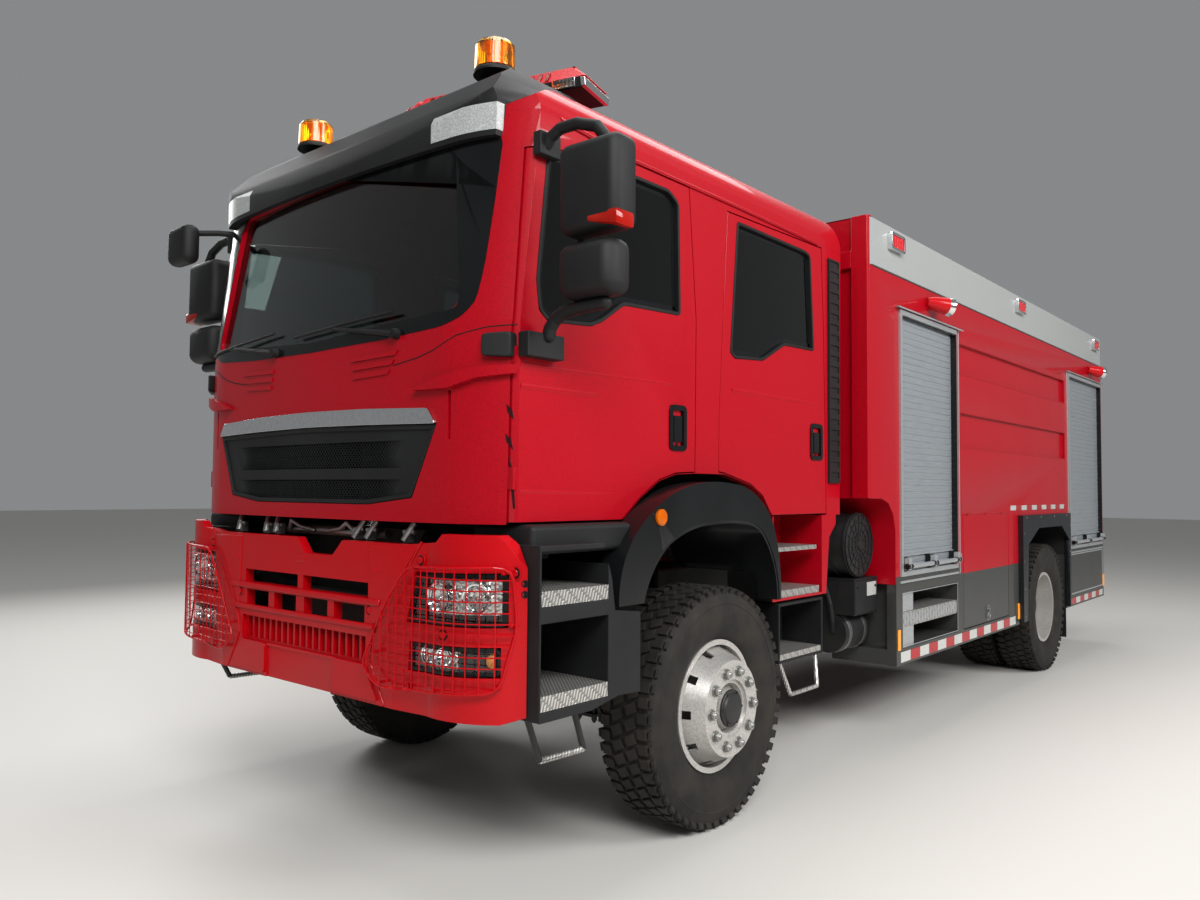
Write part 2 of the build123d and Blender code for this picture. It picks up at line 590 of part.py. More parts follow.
def cab():
    shell = cab_solid(0) - cab_solid(CAB_WALL)
    above = face_of(GUTTER + [(1500, 3400), (-1500, 3400)])
    roof_zone = along_x(above, -1300, 1300)
    rear_zone = block(-1300, 1300, CAB_BACK - CAB_WALL - 1, 1500, 1300, 3400) - roof_zone
    front_edge = [(-1600, 1300), (-1265 - DOOR_GAP, 1300), (-1258 - DOOR_GAP, 2118), (-1190 - DOOR_GAP, 2795),
                  (-1150, 3060), (-1600, 3060)]
    front_zone = along_x(face_of(front_edge), -1300, 1300)

    roof = shell & roof_zone
    rear = (shell & rear_zone) + (shell & block(-CAB_HALF + CAB_WALL, CAB_HALF - CAB_WALL, 1200, 1500, 1380, 2889))
    side_zone = block(-1300, 1300, -1600, CAB_BACK - CAB_WALL - 1, 1300, 3400) - roof_zone - front_zone
    sides = shell & side_zone & (block(CAB_HALF - CAB_WALL - 1, 1300, -1600, 1500, 1300, 3400)
                                + block(-1300, -CAB_HALF + CAB_WALL + 1, -1600, 1500, 1300, 3400))
    for way in (1, -1):
        for door in (FRONT_DOOR, REAR_DOOR):
            sides -= along_x(grown(door, DOOR_GAP), way * 1000, way * 1200)
        sides -= block(way * 1000, way * 1200, -1300, 1150 + DOOR_GAP, 1380, 1402)
    arch = face_of([(-665, 1300), (-655, 1393), (-529, 1488), (-402, 1560), (-278, 1592), (-112, 1599), (117, 1599),
                    (351, 1551), (468, 1494), (559, 1393), (565, 1300)])
    sides -= along_x(arch, -1300, 1300)

    # Below the rear door each side carries on down round a two-tread step well.
    well_treads = []
    for way in (1, -1):
        top = CAB_BOTTOM
        skin = along_x(face_of([(563, top), (563, 958), (1150, 958), (1188, 1269), (CAB_BACK - CAB_WALL - 1, 1340),
                                (CAB_BACK - CAB_WALL - 1, top)]), way * (CAB_HALF - 12), way * CAB_HALF)
        skin += block(way * (CAB_HALF - CAB_WALL), way * CAB_HALF, 1158, CAB_BACK - CAB_WALL - 1, top - 12, top + 10)
        well = block(way * 850, way * CAB_HALF, 563, 1111, 958, top) - block(way * 862, way * 1200, 575, 1099, 970, 1500)
        sides += (skin - block(way * 862, way * 1200, 575, 1099, 970, 1500)) + well
        for z0, z1, y0, y1 in ((970 + FIT, 1008, 600, 1079), (1209, 1231, 600, 1050)):
            well_treads.append(block(way * (862 + FIT), way * (CAB_HALF - 8), y0, y1, z0, z1))
    front = shell & front_zone
    front -= roof_zone
    front -= along_y(rounded(WINDSCREEN, SCREEN_CORNER), -1600, -1000)
    front -= along_y(face_of(GRILLE), -1600, -1200)
    # An air deflector turns round each corner, with a fin on top and a slot down its inner side.
    fin_line = face_of([(690, 1892), (800, 1930), (1000, 1966), (1190, 1974), (1190, 1946), (1000, 1926),
                        (880, 1892)])
    fin = along_y(fin_line, -1600, -1262 - DOOR_GAP)
    fin &= along_z(cab_plan(-FIN_OUT), 1850, 2000) - along_z(cab_plan(-FIT), 1849, 2001)
    slot = block(862, 876, -1600, CORNER_FACE + 20, 1704, 1886)
    front = front - slot - other_side(slot)
    write("cab_sides", sides)
    write("well_treads", *well_treads)
    louvres = block(CAB_HALF + FIT, CAB_HALF + LOUVRE_T, 1172, 1300, 1570, 2840)
    for z in range(1600, 2830, 60):
        louvres -= block(CAB_HALF + LOUVRE_T - 6, CAB_HALF + LOUVRE_T + 1, 1184, 1288, z, z + 30)
    write("rear_louvres", *both(louvres))
    write("cab_roof", roof)
    write("cab_rear_wall", rear)
    write("cab_front", front, *both(fin))

    write("windscreen", windscreen())
    grille = cab_solid(6) & along_y(grown(GRILLE, -1), -1600, -1250)
    grille -= cab_solid(36)
    grille -= along_y(face_of([(-668, 1706), (668, 1706), (600, 1600), (-600, 1600)]), -1600, CAB_FRONT + 26)
    grille -= along_y(face_of([(-660, 1555), (660, 1555), (640, 1495), (410, 1470), (-410, 1470), (-640, 1495)]),
                      -1600, CAB_FRONT + 26)
    write("front_grille", grille)

    floor_line = face_of([
        (-1235, CAB_BOTTOM + 4), (-700, CAB_BOTTOM + 4), (-640, ARCH_FLOOR), (500, ARCH_FLOOR),
        (570, CAB_BOTTOM + 4), (CAB_BACK - CAB_WALL, CAB_BOTTOM + 4),
        (CAB_BACK - CAB_WALL, CAB_BOTTOM + 4 + FLOOR_T), (610, CAB_BOTTOM + 4 + FLOOR_T),
        (540, ARCH_FLOOR + FLOOR_T), (-670, ARCH_FLOOR + FLOOR_T), (-730, CAB_BOTTOM + 4 + FLOOR_T),
        (-1235, CAB_BOTTOM + 4 + FLOOR_T),
    ])
    floor_half = CAB_HALF - CAB_WALL - DOOR_GAP
    floor = along_x(floor_line, -floor_half, floor_half)
    floor &= cab_solid(CAB_WALL)
    floor += block(-560, 560, -1000, -640, CAB_BOTTOM + 4 + FLOOR_T, ARCH_FLOOR + FLOOR_T)
    floor -= block(-480, 480, -980, -600, CAB_BOTTOM - 10, ARCH_FLOOR)
    # Two arms slope down and forward from the floor to the tilt pins.
    for way in (1, -1):
        arm = along_x(face_of([(TILT_Y - 24, TILT_Z + 8), (TILT_Y + 22, TILT_Z - 18), (-1062, CAB_BOTTOM + 6),
                               (-1130, CAB_BOTTOM + 6)]), way * 500, way * 530)
        arm += disc_x(TILT_Y, TILT_Z, 30, way * 500, way * 530)
        floor += arm - disc_x(TILT_Y, TILT_Z, TILT_PIN_R + FIT, way * 480, way * 550)
    write("cab_floor", floor)


# Cab fittings

def cab_fittings():
    # The sun visor caps the windscreen header, bows with it and rises over the front of the roof.
    visor_side = face_of([(-1348, VISOR_LIP), (-1345, 2900), (-1290, 3010), (-1180, 3130), (-1060, 3215),
                          (-975, 3262), (-760, 3235), (-640, 3190), (-640, 3000), (-1100, VISOR_LIP)])
    visor_front = face_of([(-1000, VISOR_LIP), (1000, VISOR_LIP), (1005, 2990), (960, 3100), (860, 3215),
                           (780, 3262), (-780, 3262), (-860, 3215), (-960, 3100), (-1005, 2990)])
    bowed = Pos(0, CAB_LEAN * (VISOR_LIP - CAB_BELT), 0) * along_z(cab_plan(-30), VISOR_LIP - 1, 3300)
    visor = along_x(visor_side, -1010, 1010) & along_y(visor_front, -1600, 0) & bowed
    # A clearance lamp is let into each end of its lower face.
    shift = Pos(0, CAB_LEAN * (VISOR_LIP - CAB_BELT), 0)
    behind = shift * along_z(cab_plan(-30 + LAMP_SUNK), VISOR_LIP - 1, 3300)
    pocket = (visor & block(690, 1010, -1500, -1100, 2868, 2972)) - behind
    lens = (visor & block(690 + FIT, 1010, -1500, -1100, 2868 + FIT, 2972 - FIT)) - Pos(0, -FIT, 0) * behind
    lens = max((lens - cab_solid(-FIT)).solids(), key=lambda s: s.volume)
    visor = visor - pocket - other_side(pocket) - cab_solid(-FIT)
    visor = max(visor.solids(), key=lambda s: s.volume)
    write("sun_visor", visor)
    beacons = []
    for way in (1, -1):
        beacons.append(Pos(way * 675, -975, 3262 + FIT + 75) * Cylinder(72, 150))
    # The light bar is a shallow V in plan with a ridged back and pointed ends.
    across = Plane(origin=(0, -770, 0), x_dir=(-235, 880, 0), z_dir=(880, 235, 0))
    section = face_of([(-115, 3268), (-128, 3312), (-62, 3396), (62, 3396), (128, 3312), (115, 3268)])
    arm = extrude(across * section, amount=1000, both=True)
    arm &= along_y(face_of([(0, 3200), (850, 3200), (930, 3285), (930, 3306), (800, 3400), (0, 3400)]), -1200, 0)
    bar = arm + other_side(arm)
    feet = block(500, 560, -635, -575, 3140, 3270) + block(-560, -500, -635, -575, 3140, 3270)
    write("warning_lights", *beacons, bar + feet - cab_solid(-FIT))
    write("clearance_lamps", *both(lens))

    dash = along_x(face_of([(-1230, 1760), (-1230, 2090), (-1010, 2080), (-850, 1990), (-850, 1800), (-980, 1760)]),
                   -CAB_HALF + CAB_WALL + 8, CAB_HALF - CAB_WALL - 8)
    dash &= cab_solid(CAB_WALL + 4)
    dash += block(-200, 200, -1000, -860, ARCH_FLOOR + FLOOR_T + FIT, 1800)
    column = rod((500, -1030, 1932), (500, -861.7, 2117.2), 32)
    write("dashboard", dash + column)
    wheel_plane = Plane(origin=(500, -850, 2130), z_dir=(0, 250, 275))
    ring = wheel_plane * Torus(225, 16)
    spokes = wheel_plane * (Box(440, 34, 14) + Cylinder(62, 34))
    write("steering_wheel", ring + spokes)

    seat_pieces = []
    front_base, bench_base = 1890, 1750
    for way in (1, -1):
        seat_pieces += [
            block(way * 250, way * 760, -560, -60, ARCH_FLOOR + FLOOR_T + FIT, front_base),
            block(way * 255, way * 755, -590, -80, front_base + FIT, front_base + 120),
            block(way * 255, way * 755, -80 + FIT, 50, front_base + FIT, 2620),
        ]
    bench_floor = CAB_BOTTOM + 4 + FLOOR_T
    seat_pieces += [
        block(-980, 980, 760, 1180, bench_floor + FIT, bench_base),
        block(-985, 985, 720, 1180, bench_base + FIT, bench_base + 120),
        block(-985, 985, 1140, CAB_BACK - CAB_WALL - FIT, bench_base + 120 + FIT, 2480),
    ]
    write("seats", *seat_pieces)

    wiper_pieces = []
    for x in (-420, 440):
        arm = rod((x + 140, CAB_FRONT - 14, 2122), (x - 380, CAB_FRONT - 22, 2185), 9)
        pod = block(x + 100, x + 180, CAB_FRONT - 34, CAB_FRONT + 60, 2095, 2150)
        wiper_pieces.append((arm + pod) - cab_solid(-FIT))
    write("wipers", *wiper_pieces)
    mirror_arm = rod((-960, -1205, 2812), (-1110, -1440, 2785), 16) - cab_solid(-FIT)
    head = fillet(block(-1215, -1005, MOST_FORWARD, MOST_FORWARD + 100, 2625, 2855).edges(), 40)
    write("kerb_mirror", mirror_arm + head)


def door_set():
    shell = cab_solid(0) - cab_solid(CAB_WALL)
    doors = {"front": (FRONT_DOOR, FRONT_WINDOW), "rear": (REAR_DOOR, REAR_WINDOW)}
    # Height of each hinge lug and where the door's front edge stands there.
    lugs = {"front": [(1520, -1262.4), (1960, -1258.6)], "rear": [(1640, 69.9), (1770, 71)]}
    handles = {"front": (-308, -224, 1710, 1885), "rear": (987, 1081, 1707, 1879)}
    reach = block(CAB_HALF - CAB_WALL, 1300, -1600, 1500, 1300, 3400)
    for name, (outline_points, window) in doors.items():
        door = shell & reach & along_x(face_of(outline_points), 1000, 1200)
        door -= along_x(rounded(window, 24), 1000, 1200)
        y0, y1, z0, z1 = handles[name]
        door -= block(CAB_HALF - 24, 1200, y0, y1, z0, z1)
        door += block(CAB_HALF - 24, CAB_HALF - 6, y0 + 10, y1 - 10, z0 + 10, z1 - 10)
        for z, edge in lugs[name]:
            door += block(CAB_HALF - 45, CAB_HALF - 6, edge - DOOR_GAP + FIT, edge + 12, z, z + 80)
        glass = along_x(grown(window, -1), CAB_HALF - 22, CAB_HALF - 22 + GLASS_T)
        glass = glass - door
        for side, place in (("left", lambda s: s), ("right", other_side)):
            write(f"door_{name}_{side}", place(door))
            write(f"glass_{name}_{side}", place(glass))
    base = block(CAB_HALF + FIT, CAB_HALF + 48, -1240, -1040, 1990, 2100)
    arm = rod((CAB_HALF + 30, -1150, 2080), (1300, -1120, 2240), 24)
    upper = block(1255, 1560, -1205, -1075, 2420, 2770)
    upper = fillet(upper.edges(), 40)
    lower = fillet(block(1250, 1545, -1205, -1080, 2190, 2410).edges(), 45)
    bracket = rod((CAB_HALF + FIT, -1158, 2740), (1300, -1158, 2740), 22)
    spine = rod((1300, -1125, 2240), (1300, -1150, 2740), 18)
    head = base + arm + upper + lower + bracket + spine
    for side, place in (("left", lambda s: s), ("right", other_side)):
        write(f"mirror_{side}", place(head))


# Fire body

def body():
    side_outline = face_of([
        (BODY_FRONT, 1483), (BODY_FRONT, BAND_BOTTOM), (BODY_BACK, BAND_BOTTOM), (BODY_BACK, BODY_FLOOR),
        (ARCH_BACK, BODY_FLOOR), (ARCH_BACK, ARCH_TOP), (ARCH_FRONT, ARCH_TOP), (ARCH_FRONT, BODY_FLOOR),
        (1795, BODY_FLOOR), (1795, 1290), (1762, 1390), (1695, 1455), (1600, 1483),
    ])
    shell = along_x(side_outline, -BODY_HALF, BODY_HALF)
    for way in (1, -1):
        # Side lockers hang below the floor outside the rails, down to the dark skirt line.
        inner = way * (BODY_HALF - SIDE_DEPTH)
        shell += block(inner, way * BODY_HALF, 1795, ARCH_FRONT, SKIRT_TOP, BODY_FLOOR)
        shell += block(inner, way * BODY_HALF, ARCH_BACK, BODY_BACK, SKIRT_TOP, BODY_FLOOR)
        for y0, y1, z0, z1 in SHUTTERS:
            shell -= block(way * (BODY_HALF - 60), way * CLEAR_X, y0, y1, z0, z1)
        for y0, y1, z0, z1 in ((2897, 5620, 2354, 2560), (2905, 5620, 1838, 2077)):
            shell -= block(way * (BODY_HALF - 22), way * CLEAR_X, y0, y1, z0, z1)
        y0, y1, z0, z1 = HATCH
        shell -= block(way * (BODY_HALF - LOCKER_DEPTH), way * CLEAR_X, y0, y1, SKIRT_TOP - 1, z1)
    half, sill, top = REAR_SHUTTER
    shell -= block(-half, half, BODY_BACK - 60, BODY_BACK + 1, sill, top)
    write("body_shell", shell)

    band = block(-BODY_HALF, BODY_HALF, BODY_FRONT, BODY_BACK, BAND_BOTTOM, BAND_TOP)
    band -= block(-BODY_HALF + BAND_WALL, BODY_HALF - BAND_WALL, BODY_FRONT + BAND_WALL, BODY_BACK - BAND_WALL,
                  DECK_TOP, BAND_TOP + 1)
    write("upper_band", band)

    deck = []
    for y in (2600, 3900, 5200):
        deck.append(Pos(0, y, DECK_TOP + FIT + 40) * Cylinder(290, 80))
    # A ladder stands off the rear wall between the pump shutter and the rear lamps.
    outer, inner = LADDER_STILES
    off = BODY_BACK + LADDER_STAND_OFF
    ladder = rod((outer, off, 700), (outer, off, 2990), 14)
    ladder += rod((inner, off, 700), (inner, off, 2990), 14)
    for i in range(8):
        z = 760 + i * 290
        ladder += rod((outer, off, z), (inner, off, z), 12)
    for z in (1100, 2900):
        for x in LADDER_STILES:
            ladder += rod((x, BODY_BACK + FIT, z), (x, off, z), 12)
    write("body_fittings", *deck, ladder)


def skirts():
    """Dark lower panels: the open step frame, the locker boxes, arch plates and mud flaps."""
    pieces = []
    y0, y1, z0, z1 = HATCH
    depth = BODY_HALF - SIDE_DEPTH
    front = block(depth, BODY_HALF, 1857, 2905, SKIRT_BOTTOM, SKIRT_TOP)
    front -= block(depth - 1, CLEAR_X, 1893, 2833, SKIRT_BOTTOM + 1, 910)
    middle = block(depth, BODY_HALF, 2905, ARCH_FRONT, SKIRT_BOTTOM, SKIRT_TOP)
    middle -= block(BODY_HALF - LOCKER_DEPTH, CLEAR_X, y0, y1, SKIRT_BOTTOM + 12, SKIRT_TOP + 1)
    middle -= block(BODY_HALF - 50, CLEAR_X, y0, y1, SKIRT_BOTTOM - 1, SKIRT_TOP + 1)
    rail = block(depth, BODY_HALF, 1800, ARCH_FRONT, RAIL_BAR_BOTTOM, SKIRT_BOTTOM)
    rail -= block(depth - 1, BODY_HALF - 60, 1893, 2833, RAIL_BAR_BOTTOM - 1, SKIRT_BOTTOM + 1)
    post = block(BODY_HALF - 60, BODY_HALF, 1800, 1857, SKIRT_BOTTOM, SKIRT_TOP)
    step = block(BODY_HALF - 6 - STEP_DEPTH, BODY_HALF - 6, 1893 + FIT, 2833 - FIT, 700, 790)
    rear = block(depth, BODY_HALF, ARCH_BACK, BODY_BACK, SKIRT_BOTTOM, SKIRT_TOP)
    rear_rail = block(depth, BODY_HALF, ARCH_BACK, BODY_BACK, RAIL_BAR_BOTTOM, SKIRT_BOTTOM)
    pieces.append(front + middle + rail + post + rear + rear_rail)
    # The arch plate stands proud of the side round a chamfered opening.
    plate = face_of([(ARCH_FRONT - 15, 500), (ARCH_FRONT - 15, 1345), (ARCH_BACK + 12, 1345), (ARCH_BACK + 12, 500),
                     (ARCH_BACK - 30, 500), (ARCH_BACK - 30, 1100), (5340, 1235), (4640, 1235), (4345, 1110),
                     (4300, 500)])
    pieces.append(along_x(plate, BODY_HALF + FIT, BODY_HALF + 40))
    flap = block(depth, BODY_HALF - 10, ARCH_BACK + 2, ARCH_BACK + 14, 215, RAIL_BAR_BOTTOM - FIT)
    pieces.append(flap)
    write("lower_skirts", *both(*pieces), *both(step))
    bumper_bar = block(-1100, 1100, BODY_BACK - 80, BODY_BACK + 10, 520, 640)
    bumper_bar += block(-470, -390, RAIL_BACK - 100, BODY_BACK - 10, 600, RAIL_TOP - RAIL_H - FIT)
    bumper_bar += block(390, 470, RAIL_BACK - 100, BODY_BACK - 10, 600, RAIL_TOP - RAIL_H - FIT)
    bumper_bar -= block(-2000, -(BODY_HALF - SIDE_DEPTH) + FIT, 6000, 7200, 400, 700)
    bumper_bar -= block(BODY_HALF - SIDE_DEPTH - FIT, 2000, 6000, 7200, 400, 700)
    bumper_bar -= rod((0, TOW_PIN_Y, 510), (0, TOW_PIN_Y, 650), TOW_PIN_R)
    write("rear_bumper", bumper_bar)


def hatches():
    y0, y1, z0, z1 = HATCH
    gap = DOOR_GAP
    panel = block(BODY_HALF - 40, BODY_HALF, y0 + gap, y1 - gap, z0 + gap, z1 - FIT)
    write("locker_flap_left", panel)
    write("locker_flap_right", other_side(panel))


def slat_curtain(y0, y1, z0, z1, x_face):
    """One roller shutter: slats with a groove between each two, as a single drawn profile."""
    points = []
    count = int((z1 - z0) / SLAT_PITCH)
    pitch = (z1 - z0) / count
    for i in range(count):
        low = z0 + i * pitch
        points += [(x_face - 5, low), (x_face, low + 6), (x_face, low + pitch - 6)]
    points += [(x_face - 5, z1), (x_face - 18, z1), (x_face - 18, z0)]
    return along_y(face_of(points), y0, y1)


def shutters():
    curtains, frames = [], []
    rim_in = SHUTTER_RIM - FIT
    sunk, proud = 59, 12
    bar_in, bar_out = BODY_HALF - 22 + FIT, BODY_HALF + 40
    for y0, y1, z0, z1 in SHUTTERS:
        curtains.append(slat_curtain(y0 + SHUTTER_RIM, y1 - SHUTTER_RIM, z0 + SHUTTER_RIM, z1 - SHUTTER_RIM,
                                     BODY_HALF - 22))
        frame = block(BODY_HALF - sunk, BODY_HALF + proud, y0 + FIT, y1 - FIT, z0 + FIT, z1 - FIT)
        frame -= block(BODY_HALF - sunk - 1, CLEAR_X, y0 + rim_in, y1 - rim_in, z0 + rim_in, z1 - rim_in)
        # A lift bar runs along the bottom slat on three brackets.
        bar = rod((BODY_HALF + 30, y0 + 45, z0 + 60), (BODY_HALF + 30, y1 - 45, z0 + 60), 14)
        for y in (y0 + 65, (y0 + y1) / 2, y1 - 65):
            bar += block(bar_in, bar_out, y - 25, y + 25, z0 + 40, z0 + 110)
        frames += [frame, bar]
    half, sill, top = REAR_SHUTTER
    width = half - SHUTTER_RIM
    rear = Rot(0, 0, 90) * slat_curtain(-width, width, sill + SHUTTER_RIM, top - SHUTTER_RIM, BODY_BACK - 22)
    write("roller_shutters", *both(*curtains), rear)
    rear_frame = block(-half + FIT, half - FIT, BODY_BACK - sunk, BODY_BACK + proud, sill + FIT, top - FIT)
    rear_frame -= block(-half + rim_in, half - rim_in, BODY_BACK - sunk - 1, BODY_BACK + proud + 1, sill + rim_in,
                        top - rim_in)
    write("shutter_frames", *both(*frames), rear_frame)


def body_lamps():
    lamps_out = []
    for y in (1780, 4279, 6763):
        lamps_out.append(block(BODY_HALF + FIT, BODY_HALF + 28, y - 70, y + 70, *SIDE_LAMP_Z))
    for y in (2457, 6542):
        lamps_out.append(rod((BODY_HALF + FIT, y - 60, SEARCH_LAMP_Z), (BODY_HALF + 120, y - 60, SEARCH_LAMP_Z), 40))
    for y, z in ((1828, 633), (4150, 581), (7040, 636)):
        lamps_out.append(block(BODY_HALF + FIT, BODY_HALF + 12, y - 18, y + 18, z - 50, z + 50))
    lamps_out.append(block(REAR_LAMP_IN, REAR_LAMP_OUT, BODY_BACK + FIT, BODY_BACK + 30, 620, 900))
    write("body_lamps", *both(*lamps_out))


running_gear()
chassis()
bumper()
lamps()
steps()
wheel_arches()
side_equipment()
cab()
cab_fittings()
door_set()
body()
skirts()
hatches()
shutters()
body_lamps()
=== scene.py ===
# %% [markdown]
# # A crew-cab fire truck, dressed step by step
# The solids of the truck come packed as a fixed frame. This lesson gives them paint, glass, rubber and
# light, and adds the small parts that a maker fits last: wires, bolts, seals, lenses, treads and straps.
# All sizes below are in millimetres from the front wheel centre, as on a workshop drawing.

# %% Load the frame
import math
import bmesh
import bpy
from mathutils import Matrix, Vector


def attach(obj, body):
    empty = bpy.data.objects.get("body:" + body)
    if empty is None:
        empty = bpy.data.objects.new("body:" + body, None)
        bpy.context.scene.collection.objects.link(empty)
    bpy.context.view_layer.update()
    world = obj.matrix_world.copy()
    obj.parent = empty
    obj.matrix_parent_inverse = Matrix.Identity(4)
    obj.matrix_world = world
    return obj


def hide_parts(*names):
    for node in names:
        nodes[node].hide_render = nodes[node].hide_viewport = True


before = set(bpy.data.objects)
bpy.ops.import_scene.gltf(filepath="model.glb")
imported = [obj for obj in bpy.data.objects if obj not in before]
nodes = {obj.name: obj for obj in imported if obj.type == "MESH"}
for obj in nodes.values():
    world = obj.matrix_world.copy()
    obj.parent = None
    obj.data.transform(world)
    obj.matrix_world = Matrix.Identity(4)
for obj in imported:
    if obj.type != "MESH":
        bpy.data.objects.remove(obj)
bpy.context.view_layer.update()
AXLE_Y = -2804.0
print(len(nodes), "solids loaded")


# %% [markdown]
# ## Camera
# The photograph was taken standing near the left front corner, with a wide lens held level with the
# bumper. The lens, place and turn were worked out from points whose real sizes are known, such as the
# wheel rims.

# %% Point the camera
def place(x, y, z):
    """A workshop point in millimetres, as a point of the frame in metres."""
    return Vector((x / 1000, (y + AXLE_Y) / 1000, z / 1000))


YAW, PITCH, ROLL = math.radians(40.52), math.radians(2.49), math.radians(0.457)
look = Vector((-math.sin(YAW) * math.cos(PITCH), math.cos(YAW) * math.cos(PITCH), math.sin(PITCH)))
across = Vector((math.cos(YAW), math.sin(YAW), 0))
upward = across.cross(look)
right = across * math.cos(ROLL) + upward * math.sin(ROLL)
top = upward * math.cos(ROLL) - across * math.sin(ROLL)
camera = bpy.data.objects.new("camera", bpy.data.cameras.new("camera"))
camera.data.lens = 27.696
camera.data.sensor_width = 36
camera.data.clip_end = 200
turn = Matrix((right, top, -look)).transposed().to_4x4()
camera.matrix_world = Matrix.Translation(place(3510.5, -3590.1, 1519.7)) @ turn
bpy.context.scene.collection.objects.link(camera)
bpy.context.scene.camera = camera
bpy.context.scene.view_settings.view_transform = "Standard"
print("camera stands at", [round(v, 2) for v in camera.location])


# %% [markdown]
# ## Finishes
# Every finish is a small web of nodes. One helper adds a node, sets it up and joins it, so that the web
# of each material can be read top to bottom. Colours are written as the web writes them and turned to
# linear light once.

# %% Node helper
def linear(code):
    """An sRGB hex colour as linear light with alpha 1."""
    parts = [int(code[i:i + 2], 16) / 255 for i in (1, 3, 5)]
    return [p / 12.92 if p <= 0.04045 else ((p + 0.055) / 1.055) ** 2.4 for p in parts] + [1.0]


def add(material, kind, sockets=None, **settings):
    """Adds a node with its settings; a socket gets a plain value or another node's output."""
    node = material.node_tree.nodes.new(kind)
    for key, value in settings.items():
        setattr(node, key, value)
    for key, value in (sockets or {}).items():
        if isinstance(value, bpy.types.NodeSocket):
            material.node_tree.links.new(value, node.inputs[key])
        else:
            node.inputs[key].default_value = value
    return node


def finish_base(name, code, roughness, metallic=0.0, **sockets):
    """A new material with its Principled shader set; returns the material and its object coordinates."""
    material = bpy.data.materials.new(name)
    material.use_nodes = True
    shader = material.node_tree.nodes["Principled BSDF"]
    shader.inputs["Base Color"].default_value = linear(code)
    shader.inputs["Roughness"].default_value = roughness
    shader.inputs["Metallic"].default_value = metallic
    for key, value in sockets.items():
        shader.inputs[key.replace("_", " ")].default_value = value
    material.diffuse_color = linear(code)
    return material, add(material, "ShaderNodeTexCoord").outputs["Object"]


def join(material, output, socket):
    """Leads a node's output to a socket of the material's shader."""
    material.node_tree.links.new(output, material.node_tree.nodes["Principled BSDF"].inputs[socket])


def noise(material, where, scale, detail, roughness=0.5):
    """A cloudy pattern, from 0 to 1."""
    return add(material, "ShaderNodeTexNoise", {"Vector": where, "Scale": scale, "Detail": detail,
                                                "Roughness": roughness}).outputs["Fac"]


def cells(material, where, scale, output="Distance", **settings):
    """A pattern of small cells: the distance from each cell's middle, or its own colour."""
    pattern = add(material, "ShaderNodeTexVoronoi", {"Vector": where, "Scale": scale}, **settings)
    return pattern.outputs[output]


def two_tone(material, factor, dark, light, low=0.35, high=0.65):
    """Lets a pattern fade the colour between two hex codes."""
    ramp = add(material, "ShaderNodeValToRGB", {"Fac": factor})
    for stop, position, code in zip(ramp.color_ramp.elements, (low, high), (dark, light)):
        stop.position = position
        stop.color = linear(code)
    join(material, ramp.outputs["Color"], "Base Color")


def relief(material, height, strength, distance):
    """Lets a pattern raise the surface, by bump alone."""
    bump = add(material, "ShaderNodeBump", {"Height": height, "Strength": strength, "Distance": distance})
    join(material, bump.outputs["Normal"], "Normal")


# %% [markdown]
# ### Fire red
# The cab wears a two-pack pearl enamel under clear coat: mica flakes of about two millimetres glint in
# the red, and the sprayed film keeps a soft orange peel. A Voronoi cell pattern gives one glint to a
# flake, a slow noise carries the film's waviness, and the coat is a second, smoother gloss above both.

# %% Painted panels
def pearl_paint(name, dark, light, flake=480.0):
    """Flake glints, an orange-peel film and patches of dust that dull the gloss."""
    material, where = finish_base(name, light, 0.4, 0.0, Coat_Weight=0.28, Coat_Roughness=0.05,
                                  Specular_IOR_Level=0.12)
    glint = add(material, "ShaderNodeSeparateColor", {"Color": cells(material, where, flake, "Color")})
    two_tone(material, glint.outputs["Red"], dark, light, 0.05, 0.95)
    relief(material, noise(material, where, 170.0, 2.0), 0.16, 0.0012)
    dust = noise(material, where, 2.2, 4.0)
    rough = add(material, "ShaderNodeMapRange", {"Value": dust, "To Min": 0.36, "To Max": 0.48})
    join(material, rough.outputs["Result"], "Roughness")
    return material


fire_red = pearl_paint("pearl enamel fire red", "#8E000F", "#AE0017")
bumper_red = pearl_paint("pearl enamel bumper red", "#A00009", "#C0000F", 900.0)
band_grey = pearl_paint("satin enamel warm grey", "#8A8C8A", "#A0A2A1", 700.0)
skirt_grey = pearl_paint("satin enamel slate grey", "#333331", "#3F3F3D", 700.0)
# Painted shade: a dark red for the shade inside the notches of the corner vents.
shaded_red = pearl_paint("shaded recess red", "#240006", "#30000A")
print("paints:", fire_red.name, band_grey.name, skirt_grey.name)


# %% [markdown]
# ### Moulded plastics
# Steps, mirrors and visor are injection-moulded polypropylene with a leather-like grain of about two
# millimetres; the wheel-arch flares have a finer grain and more gloss. The grain is bump alone.

# %% Plastics and rubber
def moulded(name, dark, light, roughness, grain, depth):
    """Grained plastic or rubber, chalky in patches."""
    material, where = finish_base(name, light, roughness, Specular_IOR_Level=0.28)
    relief(material, cells(material, where, grain), depth, 0.0008)
    two_tone(material, noise(material, where, 3.0, 5.0), dark, light)
    return material


grained_black = moulded("grained polypropylene black", "#121213", "#1A1B1C", 0.55, 520.0, 0.4)
flare_black = moulded("fine-grain polypropylene flare", "#0F1011", "#161718", 0.22, 900.0, 0.06)
gloss_black = moulded("gloss moulded housing", "#0C0D0E", "#121314", 0.16, 900.0, 0.01)
seal_rubber = moulded("extruded EPDM seal", "#0B0B0C", "#121213", 0.6, 700.0, 0.2)
dash_vinyl = moulded("slush-moulded vinyl grey", "#2A2B2E", "#35373A", 0.6, 420.0, 0.5)
floor_mat = moulded("ribbed rubber floor mat", "#151516", "#1E1E1F", 0.8, 300.0, 0.6)


